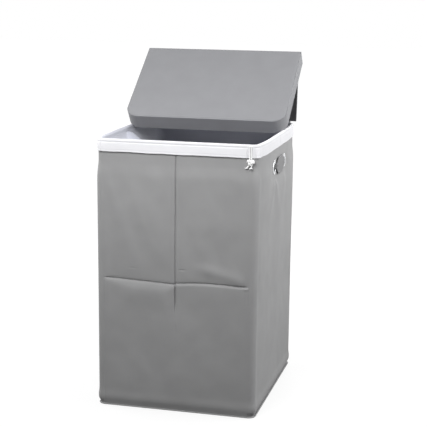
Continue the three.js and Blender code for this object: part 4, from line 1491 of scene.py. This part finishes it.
floor_finish = bpy.data.materials.new("floor")
floor_finish.use_nodes = True
floor_tree = floor_finish.node_tree
floor_tree.nodes.clear()
floor_place = add_node(floor_tree, "TexCoord", {}).outputs["Object"]
floor_away = add_node(floor_tree, "VectorMath", {0: floor_place}, operation="LENGTH")
floor_fade = add_node(floor_tree, "MapRange", {
    "Value": floor_away.outputs["Value"],
    "From Min": FLOOR_NEAR,
    "From Max": FLOOR_FAR,
    "To Min": FLOOR_NEAR_LEVEL,
    "To Max": 1.0,
})
floor_rays = {0: seen_straight(floor_tree), 1: floor_fade.outputs["Result"]}
floor_level = add_node(floor_tree, "Math", floor_rays, operation="MULTIPLY")
floor_glow = add_node(floor_tree, "Emission", {"Strength": floor_level.outputs["Value"]})
floor_matt = add_node(floor_tree, "BsdfDiffuse", {"Color": FLOOR_GREY})
floor_both = add_node(
    floor_tree, "AddShader", {0: floor_matt.outputs["BSDF"], 1: floor_glow.outputs["Emission"]}
)
add_node(floor_tree, "OutputMaterial", {"Surface": floor_both.outputs["Shader"]})

floor_mesh = bmesh.new()
bmesh.ops.create_grid(floor_mesh, x_segments=1, y_segments=1, size=FLOOR_SIZE)
floor = smooth_object("floor", floor_mesh, floor_finish)
floor.location.z = FLOOR_Z


# Light. A pale room, with large soft lamps high on the right and in front, and weaker ones behind,
# on the left and overhead.
ROOM_LEVEL = 0.12
LAMPS = (
    ("right_lamp", (1.35, 0.1, 1.10), (0.19, 0, 0.45), 1.1, 22),
    ("front_lamp", (-0.12, -1.15, 1.36), (0, -0.2, 0.45), 0.7, 19),
    ("top_lamp", (0.0, 0.4, 2.4), (0, 0, 0.5), 1.2, 3),
    ("back_lamp", (0.1, 1.7, 1.2), (0, 0.2, 0.42), 1.0, 21),
    ("left_lamp", (-1.5, 0.2, 1.1), (-0.19, 0, 0.42), 1.0, 18),
)
world = bpy.data.worlds.new("room")
bpy.context.scene.world = world
world.use_nodes = True
room = world.node_tree
room_levels = {"Value": seen_straight(room), "To Min": ROOM_LEVEL, "To Max": 1.0}
room_level = add_node(room, "MapRange", room_levels).outputs["Result"]
fill_inputs(room, room.nodes["Background"], {"Color": (1, 1, 1, 1), "Strength": room_level})

for lamp_name, lamp_place, aim, width, watts in LAMPS:
    lamp_data = bpy.data.lights.new(lamp_name, "AREA")
    lamp_data.size = width
    lamp_data.energy = watts
    lamp = add_object(lamp_name, lamp_data)
    lamp.location = lamp_place
    lamp.rotation_euler = (Vector(aim) - Vector(lamp_place)).to_track_quat("-Z", "Y").to_euler()
    lamp.visible_camera = False

bpy.context.scene.view_settings.view_transform = "Standard"
